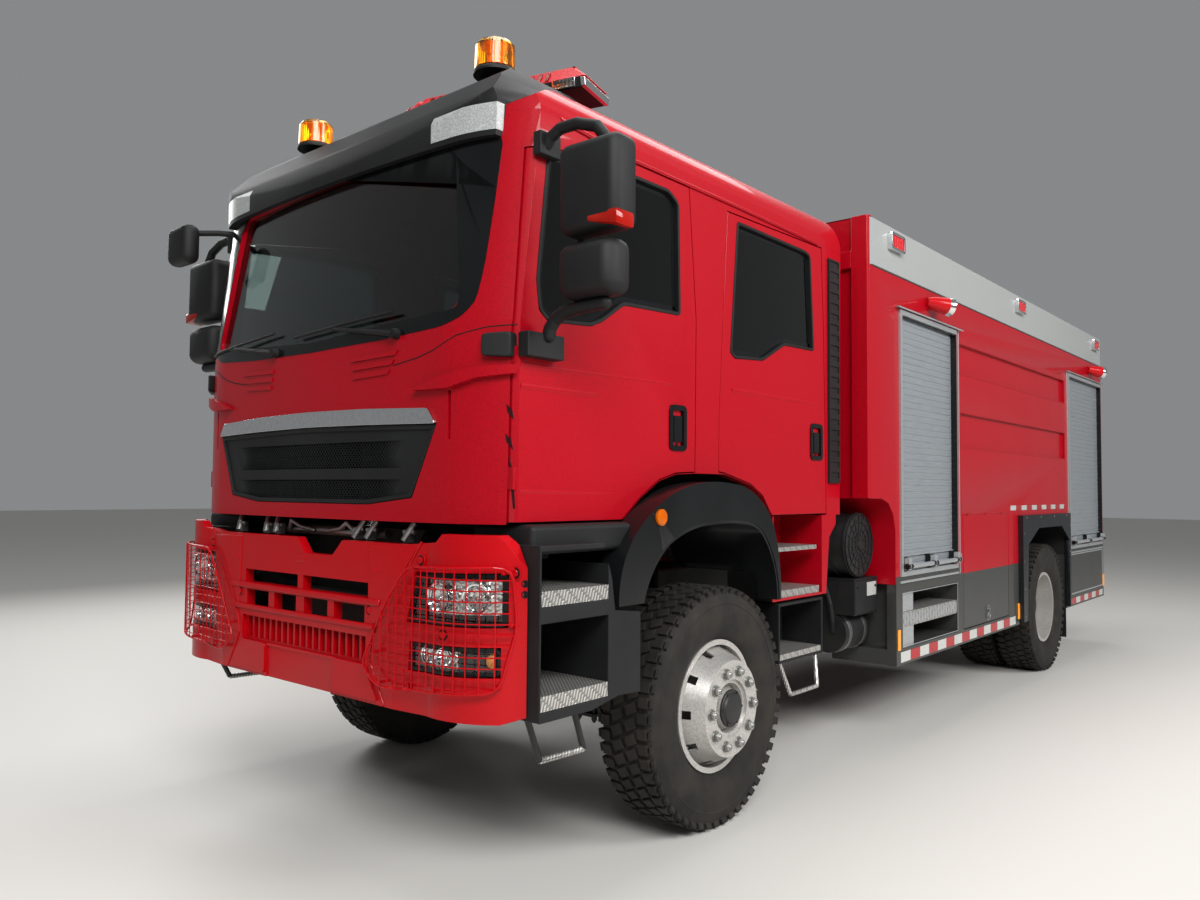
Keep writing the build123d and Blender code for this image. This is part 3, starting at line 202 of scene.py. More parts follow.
def tyre_compound(name, dark, light):
    """Tread compound: charcoal black with pale dust worked into it."""
    material, where = finish_base(name, light, 0.78, Specular_IOR_Level=0.35)
    two_tone(material, noise(material, where, 7.0, 8.0, 0.65), dark, light, 0.38, 0.7)
    relief(material, noise(material, where, 260.0, 3.0), 0.35, 0.001)
    return material


tread_rubber = tyre_compound("dusty tread compound", "#151311", "#2A2620")
print("plastics and rubber ready")


# %% [markdown]
# ### Metals
# The shutters are satin anodised aluminium, the treads bright rolled plate with a raised bar pattern, the
# arch plate brushed and black-tinted steel, and the trim strip mirror chrome. Anodised and brushed metals
# get fine streaks by stretching a noise along one direction; chrome gets nothing but a faint haze.

# %% Bright metals
def brushed(name, dark, light, roughness, along=(4.0, 4.0, 260.0), depth=0.12, metallic=1.0):
    """Metal with fine streaks, drawn out where the scale along an axis is low."""
    material, where = finish_base(name, light, roughness, metallic)
    stretched = add(material, "ShaderNodeMapping", {"Vector": where, "Scale": along})
    streaks = noise(material, stretched.outputs["Vector"], 3.0, 5.0)
    two_tone(material, streaks, dark, light, 0.3, 0.7)
    relief(material, streaks, depth, 0.0006)
    return material


shutter_alloy = brushed("satin anodised aluminium", "#8D9398", "#A8ADB2", 0.5, (300.0, 2.0, 300.0), 0.08,
                        metallic=0.65)
frame_alloy = brushed("extruded aluminium trim", "#A6A9AB", "#C6C9CB", 0.38, metallic=0.7)
wheel_silver = brushed("silver wheel enamel", "#A9A6A2", "#C9C6C2", 0.36, (40.0, 40.0, 40.0), 0.06,
                       metallic=0.55)
chrome = brushed("mirror chrome", "#D8D9DA", "#E6E7E8", 0.06, (20.0, 20.0, 20.0), 0.01)
arch_steel = brushed("black-tinted brushed steel", "#2C2F33", "#4A4E53", 0.36, (3.0, 3.0, 240.0), 0.25)
faceted = brushed("faceted lamp reflector", "#DCDDDD", "#FFFFFF", 0.16, (1.0, 1.0, 1.0), 0.0)
facets = cells(faceted, add(faceted, "ShaderNodeTexCoord").outputs["Object"], 60.0)
relief(faceted, facets, 0.6, 0.008)
zinc = brushed("bright zinc plate", "#7B7C7A", "#A3A4A1", 0.42, (60.0, 60.0, 60.0), 0.2)


def bar_plate(name):
    """Rolled aluminium with short raised bars; the pattern is turned so that upright faces carry it too."""
    material, where = finish_base(name, "#B4B2AE", 0.38, 0.75)
    slant = [math.radians(degrees) for degrees in (38, 24, 45)]
    slanted = add(material, "ShaderNodeMapping", {"Vector": where, "Rotation": slant})
    bars = add(material, "ShaderNodeTexBrick", {
        "Vector": slanted.outputs["Vector"], "Scale": 1.0, "Mortar Size": 0.0035, "Mortar Smooth": 0.4,
        "Brick Width": 0.024, "Row Height": 0.012, "Color1": (1, 1, 1, 1), "Color2": (0.75, 0.75, 0.75, 1),
        "Mortar": (0, 0, 0, 1)})
    relief(material, bars.outputs["Color"], 0.8, 0.0015)
    # Painted shade: the low grooves round each bar take the dark colour, as the shade that falls in them.
    two_tone(material, bars.outputs["Color"], "#8E8C88", "#D0CECA", 0.2, 0.9)
    return material


tread_plate = bar_plate("rolled bar-pattern aluminium")
print("metals:", shutter_alloy.name, arch_steel.name, tread_plate.name)


# %% [markdown]
# ### Chassis black, glass and lenses
# Rails and axles are dipped in satin chassis black with road dust on it. The windows are float glass with
# a grey tint, so the cab reads dark inside. Lamp lenses are clear, amber or red polycarbonate with
# moulded flutes.

# %% Dark and clear finishes
def chassis_paint(name, dark, light):
    """Dark paint under road dust; the same noise gives the dust's colour and its thickness."""
    material, where = finish_base(name, dark, 0.5)
    dust = noise(material, where, 5.0, 8.0, 0.7)
    two_tone(material, dust, dark, light, 0.45, 0.75)
    relief(material, dust, 0.25, 0.003)
    return material


chassis_black = chassis_paint("dipped chassis black", "#131415", "#2A2723")
underseal = chassis_paint("sprayed underseal", "#0E0E0F", "#1B1A19")


def glazing(name, tint, roughness=0.0, flutes=0.0, depth=0.0):
    """Clear or tinted glass, with moulded flutes or else a faint waviness."""
    material, where = finish_base(name, tint, roughness, Transmission_Weight=1.0, IOR=1.45)
    if flutes:
        bars = add(material, "ShaderNodeTexWave", {"Vector": where, "Scale": flutes}, bands_direction="X")
        relief(material, bars.outputs["Fac"], depth, 0.002)
    else:
        relief(material, noise(material, where, 4.0, 1.0), 0.02, 0.002)
    return material


window_tint = glazing("grey float glass", "#3E4645")
screen_glass = glazing("laminated screen glass", "#A9B5B1")
lens_clear = glazing("clear polycarbonate lens", "#F2F4F2", 0.03)
lens_fluted = glazing("fluted clear lens", "#E9EBE8", 0.05, 18.0, 0.5)
lens_amber = glazing("amber polycarbonate", "#FFBE3C", 0.05, 30.0, 0.25)
lens_red = glazing("red polycarbonate", "#D01418", 0.06, 30.0, 0.4)
print("glass and lenses ready")


# %% Light inside a lens
def glow(name, code, bright, strength):
    """A pale reflector seen through coloured plastic, lit a little so that the lens doesn't read black."""
    material, where = finish_base(name, code, 0.3, Emission_Strength=strength, Emission_Color=linear(code))
    grain = cells(material, where, 160.0)
    relief(material, grain, 0.15, 0.001)
    two_tone(material, grain, code, bright, 0.2, 0.9)
    return material


marker_amber = moulded("amber marker lens", "#B85200", "#D9780C", 0.1, 40.0, 0.05)
marker_red = moulded("red marker lens", "#8E1006", "#B81E10", 0.1, 40.0, 0.05)
amber_core = glow("amber reflector", "#E07A06", "#FFB03A", 0.2)
red_core = glow("red reflector", "#A0060E", "#D8222A", 0.08)
lamp_pearl = glow("pale lamp reflector", "#8E9190", "#B9BCBB", 0.0)
print("lens cores ready")

# %% The colour slot of each finish
SLOTS = {
    "cab_red": (fire_red, bumper_red, shaded_red),
    "band_grey": (band_grey,),
    "skirt_grey": (skirt_grey,),
    "black_trim": (grained_black, flare_black, gloss_black, seal_rubber, dash_vinyl),
    "chassis_black": (chassis_black,),
    "tyre_rubber": (tread_rubber,),
    "shutter_alloy": (frame_alloy, tread_plate),
    "wheel_silver": (chrome, zinc),
    "window_glass": (lens_clear,),
    "lamp_lens": (faceted, lens_fluted),
    "signal_red": (lens_amber, lens_red, marker_amber, marker_red, amber_core, red_core),
}
slot_of = {finish.name: slot for slot, finishes in SLOTS.items() for finish in finishes}
print(len(slot_of), "finishes in", len(SLOTS), "slots")


# %% [markdown]
# ## Shaping tools
# A maker's few basic cuts cover nearly every small part: a slab, a round bar, a turned ring, a plate
# drawn from an outline, and a bent wire. Each one adds to the open mesh on the bench, in workshop
# millimetres. One last step turns that mesh into a finished piece with clean normals, eased edges, a
# material and a body to ride on.

# %% Basic cuts
SHARP = math.radians(32)  # edges that turn more than this stay crisp or are rounded
SIDES = (("left", 1), ("right", -1))
bm = bmesh.new()  # the bench: the one open mesh that every cut adds to


def slab(x, y, z):
    """A rectangular block between the low and high ends of each range."""
    low, high = place(x[0], y[0], z[0]), place(x[1], y[1], z[1])
    size = Matrix.Diagonal((*[abs(high[i] - low[i]) for i in range(3)], 1))
    return bmesh.ops.create_cube(bm, size=1.0, matrix=Matrix.Translation((low + high) / 2) @ size)["verts"]


def bar(start, end, radius, sides=20, end_radius=None):
    """A round bar, or a cone when its end radius differs."""
    a, b = place(*start), place(*end)
    tilt = (b - a).to_track_quat("Z", "Y").to_matrix().to_4x4()
    return bmesh.ops.create_cone(bm, cap_ends=True, segments=sides, radius1=radius / 1000,
                                 radius2=(radius if end_radius is None else end_radius) / 1000,
                                 depth=(b - a).length, matrix=Matrix.Translation((a + b) / 2) @ tilt)["verts"]


def turned(centre, axis, profile, steps=48):
    """Spins a closed profile of (distance along the axis, radius) pairs round the axis through centre."""
    axis = Vector(axis).normalized()
    side = axis.orthogonal().normalized()
    hub = place(*centre)
    corners = [bm.verts.new(hub + axis * a / 1000 + side * r / 1000) for a, r in profile]
    edges = [bm.edges.new(ends) for ends in zip(corners, corners[1:] + corners[:1])]
    bmesh.ops.spin(bm, geom=corners + edges, cent=hub, axis=axis, angle=math.tau, steps=steps,
                   use_merge=True, use_duplicate=False)


def thicken(faces, direction):
    """Extrudes flat faces along a direction in millimetres."""
    made = bmesh.ops.extrude_face_region(bm, geom=faces)
    moved = [v for v in made["geom"] if isinstance(v, bmesh.types.BMVert)]
    bmesh.ops.translate(bm, verts=moved, vec=Vector(direction) / 1000)


def wire(points, radius, sides=8, closed=False):
    """A bent wire through its points: one bar to a run and a ball at each bend."""
    for a, b in zip(points, points[1:] + (points[:1] if closed else [])):
        bar(a, b, radius, sides)
    for p in points:
        bmesh.ops.create_uvsphere(bm, u_segments=sides, v_segments=max(4, sides // 2), radius=radius / 1000,
                                  matrix=Matrix.Translation(place(*p)))


def mirrored():
    """Adds the same shapes on the truck's other side."""
    double = bmesh.ops.duplicate(bm, geom=bm.verts[:] + bm.edges[:] + bm.faces[:])["geom"]
    verts = [v for v in double if isinstance(v, bmesh.types.BMVert)]
    faces = [f for f in double if isinstance(f, bmesh.types.BMFace)]
    bmesh.ops.scale(bm, vec=(-1, 1, 1), verts=verts)
    bmesh.ops.reverse_faces(bm, faces=faces)


def hung(name, material, body, ease, smooth, replaces):
    """Makes the open mesh a piece that rides on a body, and clears the bench for the next one."""
    mesh = bpy.data.meshes.new(name)
    bm.to_mesh(mesh)
    bm.clear()
    made = bpy.data.objects.new(name, mesh)
    bpy.context.scene.collection.objects.link(made)
    mesh.materials.append(material)
    if smooth:
        mesh.shade_smooth()
        mesh.set_sharp_from_angle(angle=SHARP)
    if ease:
        rounding = made.modifiers.new("eased edges", "BEVEL")
        rounding.width = ease / 1000
        rounding.segments = 2
        rounding.limit_method = "ANGLE"
        rounding.angle_limit = SHARP
        rounding.harden_normals = True
    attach(made, body)
    if replaces:
        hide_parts(*replaces)
    return made


def piece(name, material, body="chassis", ease=0.0, slot=None, smooth=True, replaces=()):
    """Finishes the open mesh; ease rounds its edges by that many millimetres."""
    bmesh.ops.remove_doubles(bm, verts=bm.verts, dist=0.00001)
    bmesh.ops.recalc_face_normals(bm, faces=bm.faces)
    hung(name, material, body, ease, smooth, replaces)


def pair(name, material, body="chassis", ease=0.0, **more):
    """Finishes the open mesh together with its mirror image on the truck's other side."""
    mirrored()
    piece(name, material, body, ease, **more)


print("cuts ready: slab, bar, turned, thicken, wire")


# %% [markdown]
# ### Easing the pressed panels
# Sheet metal never ends in a knife edge: a pressed panel turns over a radius of a few millimetres, and
# that radius is what catches the light along a door gap. Each large panel is copied from its solid, its
# loose triangles are merged into broad faces, and its edges are rounded by a bevel.

# %% Panels with rolled edges
def eased(node, body, material, ease):
    """Copies a solid, joins its triangles into broad faces and rolls its edges."""
    bm.from_mesh(nodes[node].data)
    bmesh.ops.remove_doubles(bm, verts=bm.verts, dist=0.00002)
    bmesh.ops.dissolve_limit(bm, angle_limit=math.radians(0.6), verts=bm.verts, edges=bm.edges,
                             delimit={"NORMAL"})
    return hung(node + "_panel", material, body, ease, True, (node,))


PANELS = [  # node, body, material, edge radius
    ("cab_sides", "cab", fire_red, 2.5),
    ("cab_roof", "cab", fire_red, 2.5),
    ("cab_rear_wall", "cab", fire_red, 2.5),
    ("cab_front", "cab", fire_red, 2.5),
    ("body_shell", "chassis", fire_red, 3.0),
    ("upper_band", "chassis", band_grey, 6.0),
    ("front_bumper", "chassis", bumper_red, 9.0),
    ("wheel_arches", "chassis", flare_black, 16.0),
    ("front_steps", "chassis", grained_black, 6.0),
    ("lower_skirts", "chassis", skirt_grey, 3.0),
    ("step_treads", "chassis", tread_plate, 3.0),
    ("sun_visor", "cab", grained_black, 10.0),
]
for side, way in SIDES:
    for node, material, ease in (("door_front", fire_red, 2.5), ("door_rear", fire_red, 2.5),
                                 ("locker_flap", skirt_grey, 3.0)):
        PANELS.append((f"{node}_{side}", f"{node}_{side}", material, ease))
panels = {row[0]: eased(*row) for row in PANELS}
print(len(panels), "panels eased")


# %% [markdown]
# ### Finishes for the solids that stay
# The rest of the solids already have the right shape, so they keep it and only get a finish.

# %% Finish the other solids
def coat(material, *names):
    """Gives solids their only finish."""
    for name in names:
        nodes[name].data.materials.clear()
        nodes[name].data.materials.append(material)


coat(window_tint, "glass_front_left", "glass_front_right", "glass_rear_left", "glass_rear_right")
coat(screen_glass, "windscreen")
coat(chassis_black, "chassis_frame", "power_unit", "front_axle", "rear_axle", "side_equipment", "rear_bumper",
     "knuckle_left", "knuckle_right")
coat(wheel_silver, "wheel_front_left", "wheel_front_right", "wheels_rear_left", "wheels_rear_right")
coat(tread_rubber, "tyre_front_left", "tyre_front_right", "tyres_rear_left", "tyres_rear_right")
coat(shutter_alloy, "roller_shutters")
coat(frame_alloy, "shutter_frames", "body_fittings")
coat(tread_plate, "well_treads")
coat(grained_black, "rear_louvres", "front_grille", "kerb_mirror", "mirror_left", "mirror_right", "wipers")
coat(dash_vinyl, "dashboard", "steering_wheel", "seats")
coat(floor_mat, "cab_floor")
coat(bumper_red, "lamp_guards")
coat(lens_clear, "headlamps")
coat(lamp_pearl, "clearance_lamps")
coat(lens_red, "warning_lights", "body_lamps")
print("all", len(nodes), "solids have a finish")


# %% [markdown]
# ## Tyres
# A truck tyre is a smooth casing with a tread moulded over it: ribs of rubber blocks with grooves between
# them. The casing is one profile spun round the axle. The blocks are one cube, set round the tyre in
# rows; the outer rows lie across the shoulder and the inner rows are staggered and turned, as on a
# road-and-site pattern.

# %% One treaded tyre
HALF_CASING = [(-102, 298), (-112, 306), (-124, 320), (-140, 352), (-147, 405), (-146, 440), (-143, 458),
               (-146, 464), (-143, 470), (-137, 494), (-130, 512), (-120, 524), (-108, 527)]
CASING = HALF_CASING + [(-a, r) for a, r in reversed(HALF_CASING)] + [(102, 287), (-102, 287)]
# distance from the middle, width, slant in degrees, shift in pitches
TREAD_ROWS = [(-98, 46, 0, 0.0), (-36, 52, 24, 0.5), (36, 52, 24, 0.0), (98, 46, 0, 0.5)]
PITCHES = 52
HUB_Z, REAR_Y = 542, 5040  # height of every wheel centre, and the rear axle
FRONT_X, TWIN_X, REAR_DISC_X = 1040, (762, 1098), 930
BOLT_CIRCLE = 167.5  # radius


def treaded_tyre(x, y, z):
    """Casing and tread blocks of one tyre whose centre is at x, y, z."""
    turned((x, y, z), (1, 0, 0), CASING, 80)
    hub = place(x, y, z)
    for offset, width, slant, shift in TREAD_ROWS:
        for i in range(PITCHES):
            spot = Matrix.Rotation((i + shift) * math.tau / PITCHES, 4, "X")
            block = (Matrix.Translation(hub) @ spot @ Matrix.Translation((offset / 1000, 0, 0.531))
                     @ Matrix.Rotation(math.radians(slant), 4, "Z")
                     @ Matrix.Diagonal((width / 1000, 0.044, 0.020, 1)))
            bmesh.ops.create_cube(bm, size=1.0, matrix=block)


def shoulder_lugs(x, y, z):
    """Short lugs that carry the outer blocks down over both shoulders."""
    hub = place(x, y, z)
    for way in (-1, 1):
        for i in range(PITCHES):
            spot = Matrix.Rotation((i + (0.5 if way > 0 else 0.0)) * math.tau / PITCHES, 4, "X")
            lug = (Matrix.Translation(hub) @ spot @ Matrix.Translation((way * 0.1275, 0, 0.512))
                   @ Matrix.Rotation(way * math.radians(-62), 4, "Y")
                   @ Matrix.Diagonal((0.046, 0.036, 0.014, 1)))
            bmesh.ops.create_cube(bm, size=1.0, matrix=lug)


for side, way in SIDES:
    for name, wheel, solid, planes, y in (("tread_front", "wheel_front", "tyre_front", (FRONT_X,), 0),
                                          ("treads_rear", "wheels_rear", "tyres_rear", TWIN_X, REAR_Y)):
        for x in planes:
            treaded_tyre(way * x, y, HUB_Z)
            shoulder_lugs(way * x, y, HUB_Z)
        piece(f"{name}_{side}", tread_rubber, f"{wheel}_{side}", ease=1.5, replaces=(f"{solid}_{side}",))
print("tyres:", PITCHES, "pitches in", len(TREAD_ROWS), "rows on each of six")


# %% [markdown]
# ## Wheel centres
# Ten studs hold each disc on a circle of 335 mm. On the real wheel a hexagon nut with a turned collar
# sits on each stud, and the hub's cap is held by a ring of small screws. A cone with six sides is a nut.

# %% Nuts, studs and hub caps
def stud_ring(x, y, z, face, way):
    """Nuts with collars and stud ends round a wheel centre; face is the nut seat's distance from x."""
    for i in range(10):
        angle = i * math.tau / 10
        at = (y + BOLT_CIRCLE * math.cos(angle), z + BOLT_CIRCLE * math.sin(angle))
        start = x + way * face
        bar((start, *at), (start + way * 7, *at), 25, 24)
        bar((start + way * 7, *at), (start + way * 19, *at), 22, 6)
        bmesh.ops.create_uvsphere(bm, u_segments=14, v_segments=8, radius=0.017,
                                  matrix=Matrix.Translation(place(start + way * 17, *at)))


def hub_cap(x, y, z, face, way, radius):
    """A domed cap with a rim and a ring of screws."""
    dome = [(0, 0.5), (0, radius), (8, radius), (12, radius - 4), (12, radius - 14), (20, radius - 20),
            (26, radius * 0.45), (28, 0.5)]
    turned((x + way * face, y, z), (way, 0, 0), dome, 48)
    for i in range(6):
        angle = i * math.tau / 6
        at = (y + (radius - 9) * math.cos(angle), z + (radius - 9) * math.sin(angle))
        bar((x + way * (face + 10), *at), (x + way * (face + 17), *at), 6, 6)


WHEELS = [  # end, body, x and y of the disc, seats of the nuts and the cap, radius of the cap
    ("front", "wheel_front", FRONT_X, 0, 196, 186, 84),
    ("rear", "wheels_rear", REAR_DISC_X, REAR_Y, 20, 180, 98)]
for side, way in SIDES:
    for end, wheel, x, y, nut_seat, cap_seat, radius in WHEELS:
        stud_ring(way * x, y, HUB_Z, nut_seat, way)
        piece(f"wheel_nuts_{end}_{side}", zinc, f"{wheel}_{side}", ease=1.0)
    for end, wheel, x, y, nut_seat, cap_seat, radius in WHEELS:
        hub_cap(way * x, y, HUB_Z, cap_seat, way, radius)
        piece(f"hub_cap_{end}_{side}", chassis_black, f"{wheel}_{side}", slot="wheel_silver")
    bar((way * 1178, 268, 590), (way * 1222, 236, 585), 5, 10)
    piece(f"tyre_valve_{side}", zinc, f"wheel_front_{side}")
print("wheel centres: 40 nuts, 4 caps")


# %% [markdown]
# ## Following the curved front
# The cab front and the bumper are bowed in plan, so flat trim has to bend with them. Trim is drawn flat,
# cut into short facets, and each point is then pushed back to the surface it belongs on. Two small
# functions give that surface: where the cab's skin and the bumper's skin stand at a given place.

# %% Where the skins stand
def circle_through(a, b, c):
    """Centre and radius of the circle through three plan points."""
    (ax, ay), (bx, by), (cx, cy) = a, b, c
    d = 2 * (ax * (by - cy) + bx * (cy - ay) + cx * (ay - by))
    ux = ((ax**2 + ay**2) * (by - cy) + (bx**2 + by**2) * (cy - ay) + (cx**2 + cy**2) * (ay - by)) / d
    uy = ((ax**2 + ay**2) * (cx - bx) + (bx**2 + by**2) * (ax - cx) + (cx**2 + cy**2) * (bx - ax)) / d
    return ux, uy, math.hypot(ax - ux, ay - uy)


MIDDLE_ARC = circle_through((-780, -1372), (0, -1402), (780, -1372))
CORNER_ARC = circle_through((780, -1372), (1015, -1312), (1120, -1245))
BUMPER_ARC = circle_through((820, -1409), (1090, -1350), (1192, -1230))


def cab_skin(x, z):
    """How far forward the cab's front stands at x and z."""
    cx, cy, r = MIDDLE_ARC if abs(x) <= 780 else CORNER_ARC
    y = cy - math.sqrt(max(r * r - (abs(x) - cx) ** 2, 0))
    return y + 0.12 * max(0, z - 2140)


def bumper_skin(x, z=0):
    """How far forward the bumper's face stands at x; it is the same at every height."""
    if abs(x) <= 640:
        return -1427
    if abs(x) <= 820:
        return -1427 + 18 * (abs(x) - 640) / 180
    cx, cy, r = BUMPER_ARC
    return cy - math.sqrt(max(r * r - (min(abs(x), 1191.5) - cx) ** 2, 0))


def bend(skin, proud, facet=60):
    """Cuts the open mesh into facets across x and lays every point on a skin, keeping its depth."""
    xs = [v.co.x for v in bm.verts]
    x = min(xs) + facet / 1000
    while x < max(xs):
        bmesh.ops.bisect_plane(bm, geom=bm.verts[:] + bm.edges[:] + bm.faces[:], plane_co=(x, 0, 0),
                               plane_no=(1, 0, 0))
        x += facet / 1000
    for v in bm.verts:
        y = skin(v.co.x * 1000, v.co.z * 1000) - proud
        v.co.y += (y + AXLE_Y) / 1000


def flat(outline):
    """The corners of a flat (x, z) outline, before it is bent on to a skin."""
    return [bm.verts.new(Vector((x / 1000, 0, z / 1000))) for x, z in outline]


def pierced(face, width):
    """Turns a face into a ring of that width in millimetres."""
    bm.normal_update()
    bmesh.ops.inset_region(bm, faces=[face], thickness=width / 1000, use_even_offset=True, use_boundary=True)
    bmesh.ops.delete(bm, geom=[face], context="FACES_ONLY")


def trim(name, outline, skin, proud, thick, material, ease=0.0, hole=None, both=False, facet=60):
    """A flat outline with an optional inset hole, thickened and bent on to the cab's or the bumper's skin."""
    face = bm.faces.new(flat(outline))
    if hole:
        pierced(face, hole)
    thicken(bm.faces[:], (0, thick, 0))
    bend(skin, proud, facet)
    if both:
        mirrored()
    piece(name, material, "cab" if skin is cab_skin else "chassis", ease)


def soft_corners(points, radius, steps=5):
    """The same closed outline with each corner turned into a short arc."""
    out = []
    for i, p in enumerate(points):
        a, b = points[i - 1], points[(i + 1) % len(points)]
        cut = [min(radius, math.dist(p, q) * 0.45) for q in (a, b)]
        start = [p[k] + (a[k] - p[k]) * cut[0] / math.dist(p, a) for k in (0, 1)]
        end = [p[k] + (b[k] - p[k]) * cut[1] / math.dist(p, b) for k in (0, 1)]
        for j in range(steps + 1):
            t = j / steps
            weights = ((1 - t) ** 2, 2 * t * (1 - t), t * t)
            out.append(tuple(sum(w * q[k] for w, q in zip(weights, (start, p, end))) for k in (0, 1)))
    return out


print("skins at the middle:", round(cab_skin(0, 1800)), round(bumper_skin(0)))


# %% [markdown]
# ## Windscreen
# A bonded screen has a black ceramic band printed round its edge, which hides the glue. The band is
# bridged between two outlines, one at the panel and one on the glass, and bent to the cab's skin.

# %% Screen band
HALF_BAND = [(494, 2107), (825, 2128), (912, 2155), (966, 2210), (980, 2300), (988, 2376), (1000, 2616),
             (1006, 2850)]
band_outer = HALF_BAND + [(0, 2868)] + [(-x, z) for x, z in reversed(HALF_BAND)] + [(0, 2098)]
screen_edge = soft_corners([(-905, 2190), (0, 2140), (905, 2190), (800, 2845), (0, 2860), (-800, 2845)], 55)
edges = []
for outline in (soft_corners(band_outer, 30, 2), screen_edge):
    loop = flat(outline)
    edges += [bm.edges.new(ends) for ends in zip(loop, loop[1:] + loop[:1])]
bmesh.ops.bridge_loops(bm, edges=edges)
thicken(bm.faces[:], (0, 3.0, 0))
bend(cab_skin, 2.0, 40)
piece("screen_band", gloss_black, "cab")
print("screen edge has", len(screen_edge), "points")


# %% [markdown]
# ## Wipers
# Two wipers lie parked along the lower edge. Each has a spindle cap, a flat arm that thins towards its
# end, and a blade along the glass.

# %% Arms and blades
for x in (-420, 440):
    pivot = (x + 140, cab_skin(x + 140, 2122) - 14, 2122)
    tip = (x - 250, cab_skin(x - 250, 2190) - 20, 2178)
    bar((pivot[0], pivot[1] + 20, pivot[2]), (pivot[0], pivot[1] - 16, pivot[2]), 24, 20, end_radius=19)
    bar((pivot[0], pivot[1] - 6, pivot[2]), tip, 13, 8, end_radius=7)
    blade = [(x - 560 + 670 * k / 8, 2176 + 38 * k / 8) for k in range(9)]
    for (x0, z0), (x1, z1) in zip(blade, blade[1:]):
        bar((x0, cab_skin(x0, z0) - 7, z0), (x1, cab_skin(x1, z1) - 7, z1), 7, 8)
piece("wiper_set", grained_black, "cab", ease=0.8, replaces=("wipers",))
print("two wipers parked")


# %% [markdown]
# ## Grille
# The grille is a black moulded frame with a bright chrome-plated strip over it, and two openings closed
# by a diamond mesh. The mesh is drawn as two sets of slanting flat bars, a little coarser than the real
# one so that it shows.

# %% Chrome strip and mesh
STRIP = [(-811, 1764), (-768, 1824), (-400, 1837), (0, 1842), (400, 1837), (768, 1824), (811, 1764),
         (400, 1772), (0, 1776), (-400, 1772)]
RIM = [(-806, 1760), (0, 1774), (806, 1760), (676, 1488), (416, 1459), (-416, 1459), (-676, 1488)]
trim("grille_strip", soft_corners(STRIP, 14), cab_skin, 12, 18, chrome, ease=3)
trim("grille_rim", RIM, cab_skin, 3, 14, grained_black, ease=2.5, hole=16)


def diamond_mesh(half_low, half_top, low, top, pitch=19, width=3.4):
    """Crossed slanting bars inside a trapezoid opening, a little behind the cab's skin."""
    rise = top - low
    reach = (half_low + half_top) / 2
    for lean in (1, -1):
        for i in range(int((2 * half_top + rise) / pitch)):
            x_mid = -half_top - rise / 2 + (i + 0.5) * pitch
            if abs(x_mid) <= reach:
                spot = Matrix.Translation(place(x_mid, cab_skin(x_mid, low) + 12, (low + top) / 2))
                shape = (spot @ Matrix.Rotation(lean * math.radians(45), 4, "Y")
                         @ Matrix.Diagonal((width / 1000, 0.004, rise * 1.41 / 1000, 1)))
                bmesh.ops.create_cube(bm, size=1.0, matrix=shape)


# Painted shade: a flat matt black sheet sits behind each mesh opening for the shade inside the grille.
shade_black = finish_base("matt black painted shade", "#030303", 1.0, Specular_IOR_Level=0.0)[0]
slot_of[shade_black.name] = "black_trim"
for name, outline in (("upper", [(-664, 1704), (664, 1704), (620, 1602), (-620, 1602)]),
                      ("lower", [(-640, 1553), (640, 1553), (600, 1490), (420, 1473), (-420, 1473),
                                 (-600, 1490)])):
    trim(f"grille_shade_{name}", outline, cab_skin, -20, 1, shade_black)
diamond_mesh(606, 666, 1602, 1704)
diamond_mesh(560, 650, 1474, 1553)
piece("grille_mesh", flare_black, "cab", smooth=False)

# Three pressed bars on each side of the front panel.
for way in (1, -1):
    for k in range(3):
        z = 2052 - 36 * k
        outline = [(300 + 8 * k, z), (300 + 8 * k, z - 20), (575 - 22 * k, z - 12), (590 - 22 * k, z + 6)]
        bm.faces.new(flat([(way * x, z) for x, z in outline]))
thicken(bm.faces[:], (0, 10, 0))
bend(cab_skin, 7)
piece("panel_pressings", fire_red, "cab", ease=3)
print("grille dressed")


# %% [markdown]
# ## Side windows
# Each side window sits in a rubber channel with a black printed border inside it. The channel is a ring a
# few millimetres proud of the door; the border is a flat ring on the glass.

# %% Window channels
DOOR_FACE, BODY_FACE = 1120, 1250  # how far out the doors and the body's sides stand
FRONT_WINDOW = [(-1112, 2812), (-1166, 2300), (-1149, 2187), (-1098, 2150), (-855, 2167), (-783, 2196),
                (-648, 2284), (-247, 2300), (-262, 2806), (-340, 2850), (-591, 2848)]
REAR_WINDOW = [(223, 2836), (162, 2184), (204, 2160), (469, 2179), (685, 2284), (1011, 2292), (972, 2815),
               (918, 2832)]


def side_ring(outline, x_face, proud, thick, width, grow=0.0):
    """A ring round a (y, z) outline on a side panel; grow moves its outer edge out."""
    mid_y = (max(y for y, z in outline) + min(y for y, z in outline)) / 2
    mid_z = (max(z for y, z in outline) + min(z for y, z in outline)) / 2
    wide = [(y + math.copysign(grow, y - mid_y), z + math.copysign(grow, z - mid_z)) for y, z in outline]
    before = set(bm.faces)
    pierced(bm.faces.new([bm.verts.new(place(x_face + proud, y, z)) for y, z in wide]), width)
    thicken([f for f in bm.faces if f not in before], (-math.copysign(thick, x_face), 0, 0))


def box(y0, y1, z0, z1):
    """The corners of an upright rectangle on a side."""
    return [(y0, z0), (y1, z0), (y1, z1), (y0, z1)]


for door, window in (("front", FRONT_WINDOW), ("rear", REAR_WINDOW)):
    for side, way in SIDES:
        side_ring(soft_corners(window, 26), way * DOOR_FACE, way * 4, 26, 15)
        piece(f"window_channel_{door}_{side}", seal_rubber, f"door_{door}_{side}", ease=3)
        side_ring(soft_corners(window, 26), way * 1104.6, way * 0.5, 2, 40)
        piece(f"window_border_{door}_{side}", gloss_black, f"door_{door}_{side}")
print("four windows sealed")


# %% [markdown]
# ## Door handles and pressed lines
# The handle is a black paddle in a black surround. Three pressed lines run along the front door, one runs
# along the rear door, and a short one stands at its front edge: thin raised folds with the same paint.

